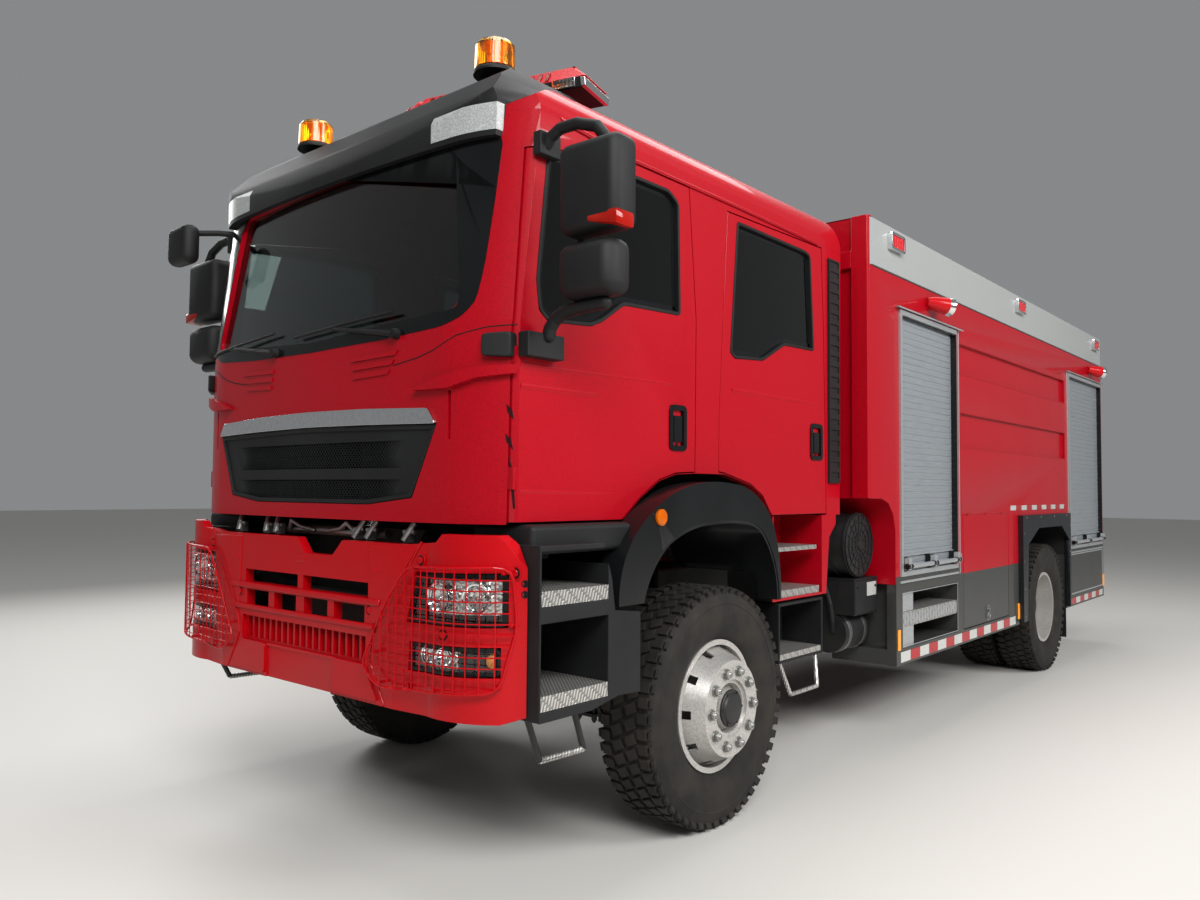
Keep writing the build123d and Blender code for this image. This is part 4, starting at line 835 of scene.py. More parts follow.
# %% Handles and folds
HANDLES = {"front": (-308, -224, 1710, 1885), "rear": (987, 1081, 1707, 1879)}
FOLDS = {"front": [((-1241, 1974), (-300, 1988), 6), ((-1240, 1897), (-810, 1898), 8),
                   ((-1240, 1512), (-700, 1505), 4)],
         "rear": [((180, 2006), (1060, 2004), 8), ((130, 2150), (150, 2150), 3)]}
for door in ("front", "rear"):
    y0, y1, z0, z1 = HANDLES[door]
    for side, way in SIDES:
        side_ring(soft_corners(box(y0 - 16, y1 + 16, z0 - 8, z1 + 8), 30),
                  way * DOOR_FACE, way * 7, 24, 24, grow=6)
        mid = (y0 + y1) / 2
        slab((way * 1096.5, way * 1101), (y0 + 1, y1 - 1), (z0 + 1, z1 - 1))
        slab((way * 1110, way * 1124), (mid - 30, mid + 30), (z0 + 26, z1 - 34))
        slab((way * 1102, way * 1112), (mid - 20, mid + 20), (z1 - 36, z1 - 14))
        bar((way * 1108, mid, z0 + 14), (way * 1117, mid, z0 + 14), 8, 16)
        piece(f"handle_{door}_{side}", gloss_black, f"door_{door}_{side}", ease=4)
        for a, b, r in FOLDS[door]:
            verts = bar((way * 1119, *a), (way * 1119, *b), r * 1.6, 12, end_radius=r * 1.1)
            bmesh.ops.scale(bm, vec=(0.35, 1, 1), verts=verts, space=Matrix.Translation((-way * 1.119, 0, 0)))
        piece(f"door_folds_{door}_{side}", fire_red, f"door_{door}_{side}")
print("handles and folds on four doors")


# %% [markdown]
# ## Mirrors
# Each mirror head has a tall and a low housing on a curved arm from a block at the belt line and another
# over the window. The housings are rounded boxes: a cube given a wide bevel and bulged a little towards
# the front. A red repeater lens wraps the lower outer corner of the tall one, and silvered glass closes
# both behind.

# %% Housings, arm and glass
def housing(x, y, z, corner, bulge):
    """A rounded box whose front swells forward by bulge."""
    verts = slab(x, y, z)
    edges = list({e for v in verts for e in v.link_edges})
    bmesh.ops.bevel(bm, geom=edges, offset=corner / 1000, segments=4, profile=0.5, affect="EDGES",
                    material=-1)
    mid_x, mid_z = (x[0] + x[1]) / 2000, (z[0] + z[1]) / 2000
    half_x, half_z = abs(x[1] - x[0]) / 2000, abs(z[1] - z[0]) / 2000
    front = (min(y) + AXLE_Y) / 1000
    for v in bm.verts:
        near = max(0, 1 - abs(v.co.y - front) / 0.05)
        swell = 1 - (((v.co.x - mid_x) / half_x) ** 2 + ((v.co.z - mid_z) / half_z) ** 2) / 2
        v.co.y -= near * max(0, swell) * bulge / 1000


MIRROR_Y = (-1210, -1085)
for side, way in SIDES:
    housing((way * 1264, way * 1544), MIRROR_Y, (2424, 2756), 38, 26)
    piece(f"mirror_tall_{side}", grained_black, f"door_front_{side}", replaces=(f"mirror_{side}",))
    housing((way * 1262, way * 1520), MIRROR_Y, (2196, 2396), 44, 26)
    piece(f"mirror_low_{side}", grained_black, f"door_front_{side}")
    arm = [(1172, -1150, 2085), (1180, -1150, 2112), (1204, -1150, 2140), (1235, -1150, 2156),
           (1265, -1150, 2164), (1330, -1150, 2172), (1440, -1148, 2176)]
    wire([(way * x, y, z) for x, y, z in arm], 25, 14)
    arch = [(1150, -1150, 2800), (1172, -1150, 2826), (1223, -1150, 2848), (1306, -1150, 2846),
            (1400, -1150, 2812), (1450, -1150, 2752)]
    wire([(way * x, y, z) for x, y, z in arch], 22, 14)
    wire([(way * 1300, -1120, 2230), (way * 1300, -1120, 2745)], 15, 10)
    slab((way * 1119.5, way * 1172), (-1255, -1062), (2002, 2093))
    slab((way * 1119.5, way * 1160), (-1190, -1080), (2762, 2850))
    piece(f"mirror_arm_{side}", grained_black, f"door_front_{side}", ease=14)
    slab((way * 1300, way * 1508), (-1090, -1082), (2460, 2720))
    slab((way * 1304, way * 1478), (-1090, -1082), (2238, 2354))
    piece(f"mirror_glass_{side}", chrome, f"door_front_{side}", ease=2)
    for v in slab((way * 1410, way * 1551), (-1222, -1120), (2420, 2478)):
        if v.co.z * 1000 < 2440 and abs(v.co.x) * 1000 < 1500:
            v.co.z += 0.030
    bmesh.ops.bevel(bm, geom=bm.edges[:], offset=0.012, segments=2, profile=0.5, affect="EDGES", material=-1)
    piece(f"repeater_{side}", marker_red, f"door_front_{side}")
housing((-1212, -1008), (-1488, -1400), (2640, 2838), 40, 8)
wire([(-966, -1215, 2818), (-1030, -1300, 2822), (-1085, -1390, 2812), (-1110, -1425, 2790)], 15, 12)
piece("kerb_mirror_head", grained_black, "cab", replaces=("kerb_mirror",))
# The front half of each belt block stands on the cab's corner, ahead of the door.
trim("belt_block_caps", soft_corners([(1016, 2004), (1112, 1998), (1112, 2092), (1016, 2086)], 16), cab_skin,
     34, 38, grained_black, ease=9, both=True, facet=12)
print("mirrors hung")


# %% [markdown]
# ## Visor lamps, beacons and light bar
# A beacon is a turned amber dome over a reflector on a black foot. The light bar is a red moulding with a
# dark underside; bright frames hold its clear end windows.

# %% Beacons
for way in (1, -1):
    turned((way * 675, -975, 3262.5), (0, 0, 1), [(0, 0.5), (0, 92), (10, 92), (22, 84), (22, 0.5)], 40)
    turned((way * 675, -975, 3402), (0, 0, 1), [(0, 0.5), (0, 30), (4, 28), (4, 0.5)], 40)
piece("beacon_feet", grained_black, "cab", replaces=("warning_lights",))
for way in (1, -1):
    dome = [(0, 86), (100, 84), (116, 72), (120, 40), (120, 0.5), (114, 0.5), (112, 68), (98, 80), (0, 80)]
    turned((way * 675, -975, 3286), (0, 0, 1), dome, 48)
piece("beacon_domes", lens_amber, "cab")
for way in (1, -1):
    bowl = [(0, 0.5), (0, 60), (20, 54), (55, 34), (90, 52), (104, 58), (104, 0.5)]
    turned((way * 675, -975, 3286), (0, 0, 1), bowl, 32)
piece("beacon_reflectors", amber_core, "cab")
print("beacons lit amber")

# %% Light bar
ACROSS = Vector((880, 235, 0)).normalized()
OUTWARD = Vector((235, -880, 0)).normalized()


def bar_length(section, start, end):
    """Draws the light bar's section between two distances from the middle of the cab."""
    mid = Vector((0, -770, 0))
    points = [mid + ACROSS * start + OUTWARD * a + Vector((0, 0, z)) for a, z in section]
    thicken([bm.faces.new([bm.verts.new(place(*p)) for p in points])], ACROSS * (end - start))


LENS_SECTION = [(-112, 3322), (-60, 3396), (60, 3396), (112, 3322)]
bar_length(LENS_SECTION, 2, 826)
bar_length(LENS_SECTION, 826, 900)
for v in bm.verts:
    if v.co.x * 1000 > 850 and v.co.z > 3.36:
        v.co -= Vector((0.085, 0.023, 0.0))
pair("light_bar_lens", red_core, "cab", ease=6)
bar_length([(-116, 3272), (-122, 3320), (122, 3320), (116, 3272)], 0, 880)
slab((500, 560), (-635, -575), (3150, 3274))
slab((-50, 50), (-790, -690), (3180, 3276))
pair("light_bar_base", grained_black, "cab", ease=5)
bar_length([(112, 3278), (120, 3318), (128, 3318), (120, 3278)], 735, 850)
bar_length([(-120, 3274), (-128, 3310), (128, 3310), (120, 3274)], 878, 900)
pair("light_bar_ends", chrome, "cab", ease=3)
bar_length([(124, 3280), (124, 3316), (131, 3316), (131, 3280)], 745, 842)
pair("light_bar_windows", lens_fluted, "cab", ease=2)
for k in range(16):
    at = 60 + k * 42
    bar_length([(108, 3330), (78, 3378), (82, 3380), (113, 3332)], at, at + 18)
pair("light_bar_ribs", lens_red, "cab")
print("light bar on")


# %% [markdown]
# ## Headlamps
# Each lamp opening in the bumper holds a dark housing, a chrome bowl for the dipped and the main beam, an
# amber turn lamp and a clear outer lens. The bowls are turned; the housing and the lens are outlines bent
# like the bumper.

# %% Lamp units
LAMP_WINDOWS = {"head": [(716, 1026), (1136, 1034), (1136, 1220), (762, 1208)],
                "fog": [(728, 849), (1118, 859), (1118, 958), (733, 950)]}
BOWLS = [(872, 1124, 56), (1030, 1130, 54), (816, 911, 36), (906, 912, 36)]
TRAYS = {"head": [(794, 1064), (1108, 1072), (1108, 1192), (800, 1184)],
         "fog": [(764, 868), (958, 872), (958, 956), (768, 952)]}
for lamp, window in LAMP_WINDOWS.items():
    trim(f"{lamp}_lamp_bezels", soft_corners(window, 20), bumper_skin, -6, 26, gloss_black,
         ease=3, hole=15, both=True, facet=40)
    trim(f"{lamp}_lamp_backs", soft_corners(window, 20), bumper_skin, -62, 6, gloss_black,
         both=True, facet=40, ease=0.5)
    trim(f"{lamp}_lamp_lenses", soft_corners([(x * 0.998, z) for x, z in window], 20), bumper_skin, -10, 3,
         lens_clear, both=True, facet=40)
    trim(f"{lamp}_lamp_trays", soft_corners(TRAYS[lamp], 10), bumper_skin, -34, 8, faceted,
         both=True, facet=30)
for x, z, r in BOWLS:
    face = bumper_skin(x) + 44
    lean = -0.12 if x < 950 else -0.42
    profile = [(0, 1), (2, r * 0.45), (12, r * 0.75), (34, r), (38, r), (36, r * 0.9), (14, r * 0.66),
               (5, r * 0.3), (4, 1)]
    turned((x, face, z), (-lean, -1, 0), profile, 40)
    turned((x + 6, face - 8, z), (-lean, -1, 0), [(0, 0.5), (0, 9), (18, 9), (24, 5), (24, 0.5)], 20)
pair("lamp_bowls", chrome, slot="lamp_lens", replaces=("headlamps",))
face = bumper_skin(1080) + 46
turned((1078, face, 910), (0.45, -1, 0), [(0, 0.5), (0, 26), (20, 24), (26, 14), (26, 0.5)], 28)
pair("turn_lamps", amber_core)
print("lamps fitted")


# %% [markdown]
# ## Lamp guards
# A guard is welded up from round rod: a rounded outer frame, upright and level wires inside it, and short
# stays back to the bumper. The wires follow the bumper's curve; the upright ones stand a little ahead of
# the level ones.

# %% Bent wire guards
GUARD = [(744, 1232), (1163, 1246), (1174, 1031), (1134, 806), (594, 776), (490, 842), (630, 1082)]
STAND_OFF = 34


def span_at(outline, value, across):
    """Where a level (across=0) or upright (across=1) line meets the outline, low and high."""
    hits = []
    for a, b in zip(outline, outline[1:] + outline[:1]):
        p, q = a[1 - across], b[1 - across]
        if (p - value) * (q - value) < 0:
            t = (value - p) / (q - p)
            hits.append(a[across] + (b[across] - a[across]) * t)
    return min(hits), max(hits)


def on_guard(x, z):
    """The point at x and z on the guard's own curve, ahead of the bumper."""
    return (x, bumper_skin(x) - STAND_OFF, z)


edge = soft_corners(GUARD, 46, 3)
loop = []
for a, b in zip(edge, edge[1:] + edge[:1]):
    steps = max(1, round(math.dist(a, b) / 70))
    loop += [on_guard(a[0] + (b[0] - a[0]) * k / steps, a[1] + (b[1] - a[1]) * k / steps)
             for k in range(steps)]
wire(loop, 4.6, 8, closed=True)
for k in range(1, 12):
    z = 776 + k * 38.5
    x0, x1 = span_at(edge, z, 0)
    steps = max(2, round((x1 - x0) / 70))
    wire([on_guard(x0 + (x1 - x0) * i / steps, z) for i in range(steps + 1)], 2.4, 6)
for k in range(1, 16):
    x = 490 + k * 42.5
    y = bumper_skin(x) - STAND_OFF - 6
    z0, z1 = span_at(edge, x, 1)
    bar((x, y, z0), (x, y, z1), 2.4, 6)
for x, z in ((783, 1228), (1140, 1224), (560, 900), (600, 790), (900, 800), (1120, 822), (1160, 1040)):
    bar(on_guard(x, z), (x, bumper_skin(x) + 2, z), 6, 8)
pair("wire_guards", bumper_red, replaces=("lamp_guards",))
print("guard wires: 11 level, 15 upright a side")


# %% [markdown]
# ## Bumper hardware
# Flush bolts hold the bumper's skin. A folded seam runs from the joint down to the apron, and two small
# drain holes sit at the outer corner.

# %% Bolts, seams and drain holes
BOLTS = [(783, 1255), (918, 996), (723, 790), (1154, 1224), (527, 1200), (494, 1048), (403, 751)]
for x, z in BOLTS:
    y = bumper_skin(x)
    out = (0, -1, 0) if x < 800 else (0.3, -1, 0)
    turned((x, y, z), out, [(-2, 21), (-2, 26), (3, 26), (4, 23), (3, 21)], 28)
    turned((x, y, z), out, [(-2, 0.5), (-2, 13), (5, 13), (7, 10), (7, 0.5)], 24)
pair("bumper_bolts", bumper_red)
# Painted shade: a thin dark disc under each bolt head stands for the shade in the bolt's recess.
for x, z in BOLTS:
    bar((x, bumper_skin(x) + 1, z), (x, bumper_skin(x) - 0.8, z), 20, 24)
pair("bolt_recess_shade", seal_rubber)
for z in (1186, 1148):
    drain = [(0, 0.5), (0, 13), (3, 13), (3, 9), (1, 9), (1, 0.5)]
    turned((1174, bumper_skin(1174) + 1, z), (0.75, -0.66, 0), drain, 20)
pair("bumper_drains", gloss_black)
fold = [(786, 1322), (514, 950), (492, 862), (592, 698)]
for a, b in zip(fold, fold[1:]):
    bar((a[0], bumper_skin(a[0]) - 0.5, a[1]), (b[0], bumper_skin(b[0]) - 0.5, b[1]), 5, 8)
pair("bumper_folds", bumper_red)
# A shallow raised block stands at each end of the apron, and a rim frames the middle panel.
trim("apron_blocks", soft_corners([(262, 706), (560, 706), (470, 838), (262, 838)], 20), bumper_skin, 10, 14,
     bumper_red, ease=6, both=True)
for name, z0, z1, half in (("upper", 1068, 1092, 560), ("lower", 974, 996, 520)):
    shelf = [(-half, z0), (half, z0), (half + 8, z1), (-half - 8, z1)]
    trim(f"bumper_shelf_{name}", shelf, bumper_skin, 12, 16, bumper_red, ease=6)
trim("middle_rim", [(500, 990), (486, 1300), (512, 1300), (760, 1296), (540, 1004)], bumper_skin, 4, 8,
     bumper_red, ease=3, both=True)
print("bumper bolts:", 2 * len(BOLTS))


# %% [markdown]
# ## Corner and roof details of the cab
# The corner panel has a row of three vents in a dark red painted as shade, and an amber side lamp. Over
# the doors a rain gutter follows the roof, and the clearance lamps in the visor have an oval inner lens.

# %% Vents, gutter and lamps
# Painted shade: each vent is a thin plate in the dark red that stands for the shade in its notch.
for name, outline in (("upper", [(1082, 1830), (1086, 1800), (1106, 1770), (1100, 1808)]),
                      ("middle", [(1080, 1722), (1084, 1692), (1104, 1662), (1098, 1700)]),
                      ("lower", [(1092, 1640), (1096, 1560), (1106, 1450), (1112, 1450), (1104, 1590)])):
    trim(f"corner_vent_{name}", outline, cab_skin, 1.5, 4, shaded_red, both=True, facet=12)
SEAM = [(560, 2000), (700, 2020), (786, 2042), (898, 2090), (1015, 2113), (1112, 2120)]
for a, b in zip(SEAM, SEAM[1:]):
    steps = max(1, round((b[0] - a[0]) / 30))
    knots = [(a[0] + (b[0] - a[0]) * k / steps, a[1] + (b[1] - a[1]) * k / steps) for k in range(steps + 1)]
    wire([(x, cab_skin(x, z) - 0.2, z) for x, z in knots], 2.2, 6)
pair("panel_seam", seal_rubber, "cab")
trim("clearance_ovals", soft_corners(box(928, 974, 2884, 2958), 30), cab_skin, 33, 6, lens_fluted, both=True,
     facet=12)
trim("clearance_rims", soft_corners([(690, 2868), (1000, 2868), (1000, 2972), (740, 2972)], 14), cab_skin,
     32, 8, gloss_black, ease=1.5, hole=7, both=True, facet=20)
gutter = [(-1040, 2944), (-592, 2911), (191, 2911), (1050, 2900)]
for a, b in zip(gutter, gutter[1:]):
    bar((1117, *a), (1117, *b), 8, 10)
    bar((1126, a[0], a[1] - 10), (1126, b[0], b[1] - 10), 3, 8)
pair("door_gutters", fire_red, "cab")
turned((1240, -548, 1410), (1, 0, 0), [(-4, 0.5), (-4, 34), (10, 34), (16, 26), (18, 0.5)], 32)
pair("flare_lamps", marker_amber)
# The console closes upwards to the cab with a moulded panel, so no shelf shows over the upper tread.
slab((860, 1186), (-1236, -660), (1284, 1392))
slab((860, 1200), (-1244, -1200), (1180, 1330))
pair("console_tops", grained_black, ease=22)
# Steel hooks, a short hose on each side and a cross tube show in the gap between the bumper and the cab.
for x in (300, 385, 625):
    bar((x, -1372, 1318), (x + 26, -1340, 1388), 13, 12)
    bar((x - 26, -1350, 1352), (x + 40, -1350, 1352), 9, 12)
    slab((x - 12, x + 12), (-1366, -1330), (1312, 1360))
wire([(250, -1330, 1340), (210, -1345, 1376), (150, -1335, 1350), (60, -1330, 1338)], 10, 10)
mirrored()
bar((-440, -1306, 1336), (440, -1306, 1336), 19, 16)
piece("gap_fittings", zinc, slot="chassis_black", ease=1)
slab((-62, 62), (-1424, -1384), (1196, 1246))
slab((-40, 40), (-1429, -1420), (1206, 1234))
piece("tow_cover", bumper_red, ease=6)
print("corner vents, gutters and side lamps on")


# %% [markdown]
# ## Body colours
# The locker flap is painted in two colours that meet on the dark line, and the arch plate is bare tinted
# steel screwed to a painted skirt. Each is one panel with two finishes; the flap's faces are cut along the
# line first, and then faces are given the second material by where their middles lie.

# %% Second finishes on one panel
def second_finish(panel, material, belongs, cut_z=None):
    """Gives the faces for which belongs(middle in millimetres) holds a second material."""
    bm.from_mesh(panel.data)
    if cut_z is not None:
        bmesh.ops.bisect_plane(bm, geom=bm.verts[:] + bm.edges[:] + bm.faces[:],
                               plane_co=(0, 0, cut_z / 1000), plane_no=(0, 0, 1))
    changed = 0
    for face in bm.faces:
        x, y, z = face.calc_center_median() * 1000
        if belongs(abs(x), y - AXLE_Y, z):
            face.material_index = len(panel.data.materials)
            changed += 1
    bm.to_mesh(panel.data)
    bm.clear()
    panel.data.materials.append(material)
    return changed


for side, way in SIDES:
    count = second_finish(panels[f"locker_flap_{side}"], fire_red, lambda x, y, z: z > 966, cut_z=966)
    print(f"locker flap {side}:", count, "faces in red")
skirt = panels["lower_skirts"]
SECOND = [  # place, panel, material, which middles
    ("arch plates", skirt, arch_steel, lambda x, y, z: x > 1250.2 and 4190 < y < 5650),
    ("step blocks", skirt, tread_plate, lambda x, y, z: 1893 < y < 2833 and 699 < z < 791 and x < 1245),
    ("stirrups", panels["step_treads"], underseal, lambda x, y, z: y < -860 and 541 < z < 716),
    ("cab underside", panels["cab_sides"], underseal,
     lambda x, y, z: x < 1090 and -760 < y < 640 and z < 1600),
    ("arch inside", panels["body_shell"], underseal,
     lambda x, y, z: x < 1249 and 4200 < y < 5640 and z < 1335),
    ("mud flaps", skirt, seal_rubber, lambda x, y, z: z < 478 and 5600 < y < 5660)]
for where, panel, material, belongs in SECOND:
    print(where, "in a second finish:", second_finish(panel, material, belongs), "faces")


# %% [markdown]
# ## Band and seams
# The grey band ends in a red front plate. A thin joint runs under the band, a drip rail sheds water over
# each shutter, and the pressed recesses have a rolled lip that catches the light.

# %% Trim on the body's sides
slab((-1252, 1252), (1437, 1444.5), (2826, 3131))
slab((-1251.5, 1251.5), (1437, 1473), (3122, 3131))
piece("band_front_plate", fire_red, ease=2)
for way in (1, -1):
    slab((way * 1150, way * 1250), (1412, 1443.4), (1486, 3128))
slab((-1150, 1150), (1412, 1443.4), (2826, 2930))
piece("front_posts", fire_red, ease=4)
for y in ((1797, 2903), (5632, 7060)):
    slab((1249, 1252), y, (960, 1012))
pair("sill_panels", skirt_grey, ease=1)
slab((1249, 1253), (1470, 7058), (2838, 2848))
pair("band_joint", skirt_grey, ease=1)
for y0, y1, z in ((1812, 2916, 2650), (5700, 7036, 2657)):
    slab((1248, 1276), (y0, y1), (z, z + 4))
    slab((1272, 1276), (y0, y1), (z - 5, z + 4))
slab((1249, 1256), (2868, 2880), (968, 2650))
slab((1249, 1256), (5722, 5732), (968, 2655))
pair("drip_rails", frame_alloy, ease=1)
for y0, y1, z0, z1 in ((2897, 5620, 2354, 2560), (2905, 5620, 1838, 2077)):
    side_ring(soft_corners(box(y0, y1, z0, z1), 14), BODY_FACE, 3, 9, 8, grow=7)
side_ring(soft_corners(box(2945, 3952, 968, 1371), 8), BODY_FACE, 1.5, 6, 4, grow=5)
pair("body_pressings", fire_red, ease=2)
print("band, rails and lips on")


# %% [markdown]
# ## Shutter details
# A roller shutter runs in a channel with a dark brush seal, and its lift bar turns in moulded black
# brackets with a bright latch at the rear end.

# %% Seals, brackets and latches
SHUTTERS = [(1857, 2824, 1010, 2641), (5746, 6994, 1010, 2648)]
for y0, y1, z0, z1 in SHUTTERS:
    slab((1226, 1266), (y1 - 30, y1 - 14), (z0 + 32, z1 - 30))
    slab((1226, 1240), (y0 + 30, y0 + 38), (z0 + 32, z1 - 30))
    slab((1226, 1246), (y0 + 34, y1 - 34), (z1 - 42, z1 - 30))
    for y in (y0 + 65, (y0 + y1) / 2, y1 - 65):
        bar((1280, y - 34, z0 + 60), (1280, y - 10, z0 + 60), 19, 16)
        bar((1280, y + 10, z0 + 60), (1280, y + 34, z0 + 60), 19, 16)
        slab((1229, 1262), (y - 30, y + 30), (z0 + 34, z0 + 116))
pair("shutter_seals", gloss_black, ease=3)
for y0, y1, z0, z1 in SHUTTERS:
    slab((1226, 1240), (y0 + 38, y1 - 32), (z0 + 118, z0 + 126))
    slab((1226, 1242), (y0 + 38, y1 - 32), (z0 + 31, z0 + 38))
    bar((1280, y1 - 42, z0 + 60), (1280, y1 - 6, z0 + 60), 12, 12)
    slab((1262, 1286), (y1 - 12, y1 - 4), (z0 + 40, z0 + 96))
    slab((1248, 1262), (y0 - 10, y1 + 10), (z0 - 40, z0 - 26))
pair("shutter_rails", frame_alloy, ease=1.5)
print("shutters sealed")


# %% [markdown]
# ## Side lamps, search lamps and markers
# Each side lamp is a red lens in a chrome bezel. A search lamp is a red cone on a foot with a clear lens
# in a bright ring. Amber markers stand at the ends of the skirts, and rear lamps carry red, amber and
# clear fields.

# %% Lamps on the body
SIDE_LAMPS, SEARCH_LAMPS = (1800, 4285, 6790), (2400, 6600)


def search_lamp(y, profile):
    """One turned part of a search lamp, round its tilted axis."""
    turned((1318, y, 2742), (0.62, 1, -0.16), profile, 32)


for y in SIDE_LAMPS:
    side_ring(soft_corners(box(y - 100, y + 100, 2981, 3087), 16), BODY_FACE, 30, 30, 16)
for y in SEARCH_LAMPS:
    search_lamp(y, [(28, 54), (62, 62), (66, 62), (66, 55), (40, 49), (28, 49)])
pair("lamp_bezels", chrome, ease=2, replaces=("body_lamps",))
for y in SIDE_LAMPS:
    slab((1250.3, 1272), (y - 88, y + 88), (2992, 3076))
    for k in range(5):
        slab((1270, 1276), (y - 80 + k * 34, y - 56 + k * 34), (2998, 3070))
pair("side_lamp_lenses", red_core, ease=2)
for y in SEARCH_LAMPS:
    search_lamp(y, [(-120, 0.5), (-120, 26), (-90, 38), (0, 52), (30, 57), (30, 0.5)])
    bar((1250.4, y - 60, 2750), (1290, y - 50, 2748), 28, 20)
    bar((1250.4, y - 60, 2750), (1256, y - 60, 2750), 46, 24)
pair("search_lamp_bodies", bumper_red, ease=2)
for y in SEARCH_LAMPS:
    search_lamp(y, [(50, 0.5), (50, 54), (56, 54), (62, 32), (64, 0.5)])
pair("search_lamp_lenses", lens_fluted)
for y, z in ((1828, 633), (4180, 586), (7035, 640)):
    slab((1250.3, 1259), (y - 18, y + 18), (z - 62, z + 62))
pair("amber_markers", amber_core, ease=4)
slab((1118, 1237), (7062.4, 7092), (618, 902))
pair("rear_lamp_housings", gloss_black, ease=6)
for name, z0, z1, material in (("rear_brake_lenses", 806, 890, red_core),
                               ("rear_turn_lenses", 718, 800, amber_core),
                               ("rear_reverse_lenses", 630, 712, lens_fluted)):
    slab((1128, 1227), (7090, 7096), (z0, z1))
    pair(name, material, ease=3)
print("body lamps lit")


# %% [markdown]
# ## Reflective strips
# Retro-reflective tape is a thin plastic film with tiny glass prisms in a honeycomb. It is laid in red
# and silver lengths along the lower rails and over the rear wheel.

# %% Tape
def tape(name, dark, light):
    """Plastic film over prisms, darker along the edge of each prism."""
    material, where = finish_base(name, light, 0.28, 0.35)
    prisms = cells(material, where, 210.0, feature="DISTANCE_TO_EDGE")
    two_tone(material, prisms, dark, light, 0.02, 0.12)
    relief(material, prisms, 0.2, 0.0005)
    return material


silver_tape = tape("silver reflective tape", "#A9ABA8", "#D9DBD6")
red_tape = tape("red reflective tape", "#8E1119", "#C22028")
slot_of[silver_tape.name] = "shutter_alloy"
slot_of[red_tape.name] = "signal_red"
STRIPS = [  # first and last y, low and high z, length of one field
    (1860, 4190, 494, 556, 150), (5660, 7040, 496, 552, 150), (4010, 5640, 1386, 1424, 142)]
for name, odd, material in (("silver_strips", 0, silver_tape), ("red_strips", 1, red_tape)):
    for y0, y1, z0, z1, field in STRIPS:
        for k in range(odd, int((y1 - y0) / field), 2):
            slab((1250.3, 1251.7), (y0 + k * field, y0 + (k + 1) * field - 3), (z0, z1))
    pair(name, material, smooth=False)
print("tape laid:", len(STRIPS), "runs a side")


# %% [markdown]
# ## Latch, frames and step
# The flap closes with a folding ring latch. The rear lower panel has a thin bright frame, and the step
# between the posts is a plated tread with an end plate of bare aluminium.

# %% Small parts of the lower side
for side, way in SIDES:
    slab((way * 1249, way * 1254), (3420, 3484), (588, 700))
    bar((way * 1254, 3452, 672), (way * 1266, 3452, 672), 15, 20)
    turns = [k * math.tau / 12 for k in range(12)]
    ring = [(way * 1262, 3452 + 20 * math.cos(a), 630 + 26 * math.sin(a)) for a in turns]
    wire(ring, 4, 8, closed=True)
    piece(f"flap_latch_{side}", zinc, f"locker_flap_{side}", ease=1)
    for y in (3080, 3450, 3820):
        bar((way * BODY_FACE, y - 45, 1366), (way * BODY_FACE, y + 45, 1366), 6, 12)
    piece(f"flap_hinges_{side}", fire_red, f"locker_flap_{side}")
side_ring(box(5690, 7020, 586, 962), BODY_FACE, 2.5, 3, 12)
side_ring(box(1893, 2833, 580, 908), BODY_FACE, 1.5, 2, 5)
slab((1100, 1238), (1894, 2090), (576, 699))
slab((1100, 1236), (1894, 2090), (791, 908))
pair("lower_frames", frame_alloy, ease=0.8)
for y in range(1925, 2820, 46):
    slab((1243, 1247.5), (y, y + 22), (712, 778))
pair("step_cleats", frame_alloy, ease=1)
for y, z in ((4228, 540), (4228, 760), (4228, 980), (4228, 1200), (4300, 1326), (4700, 1326), (5100, 1326),
             (5500, 1326), (5622, 1240), (5622, 1000), (5622, 760), (5622, 540)):
    bar((1289, y, z), (1293, y, z), 9, 16)
pair("arch_screws", zinc, ease=1)
print("lower side dressed")


# %% [markdown]
# ## Rear wall and roof
# Seen from behind, the pump shutter has a lift bar on three brackets. The roof deck has ribbed plate
# between its hatches, and each hatch has six bolts and a handle.

# %% Rear and roof
bar((-560, 7092, 1240), (560, 7092, 1240), 12, 16)
for x in (-560, 0, 560):
    slab((x - 22, x + 22), (7040, 7096), (1222, 1262))
slab((-600, 600), (7062.4, 7068), (2690, 2702))
piece("rear_lift_bar", frame_alloy, ease=2)
for y in range(1700, 6900, 140):
    slab((-1120, 1120), (y, y + 26), (2930.3, 2935))
piece("deck_ribs", tread_plate, ease=1)
for y in (2600, 3900, 5200):
    for k in range(6):
        at = (270 * math.cos(k * math.tau / 6), y + 270 * math.sin(k * math.tau / 6))
        bar((*at, 3010), (*at, 3018), 10, 6)
    wire([(-60, y, 3014), (-60, y, 3040), (60, y, 3040), (60, y, 3014)], 8, 8)
piece("hatch_handles", zinc)
print("rear and roof dressed")


# %% [markdown]
# ## Behind the cab
# The air cleaner is a black drum in a pressed cage of rings and ribs. Below it hang a battery box with a
# blank pale label, an air reservoir with two straps, and rubber hoses. The far side has a fuel tank with
# two straps.

# %% Air cleaner, box and reservoir
DRUM = (1590, 1207)
for r in (186, 140, 96, 54):
    turned((1110, *DRUM), (1, 0, 0), [(-1, r - 7), (-1, r), (7, r), (7, r - 7)], 40)
turned((1110, *DRUM), (1, 0, 0), [(0, 0.5), (0, 34), (14, 30), (14, 0.5)], 24)
for k in range(16):
    a = k * math.tau / 16
    inner, outer = [(1113, DRUM[0] + r * math.cos(a), DRUM[1] + r * math.sin(a)) for r in (30, 184)]
    bar(inner, outer, 4, 6)
for x in (800, 900, 1000, 1090):
    turned((x, *DRUM), (1, 0, 0), [(0, 184), (0, 193), (16, 193), (16, 184)], 40)
piece("air_cleaner_cage", grained_black, slot="chassis_black", ease=1.5)
slab((1126, 1136), (1486, 1784), (806, 998))
slab((900, 1136), (1476, 1794), (1002, 1012))
slab((1128, 1140), (1600, 1660), (840, 870))
for y in (1520, 1750):
    bar((1136, y, 960), (1142, y, 960), 9, 6)
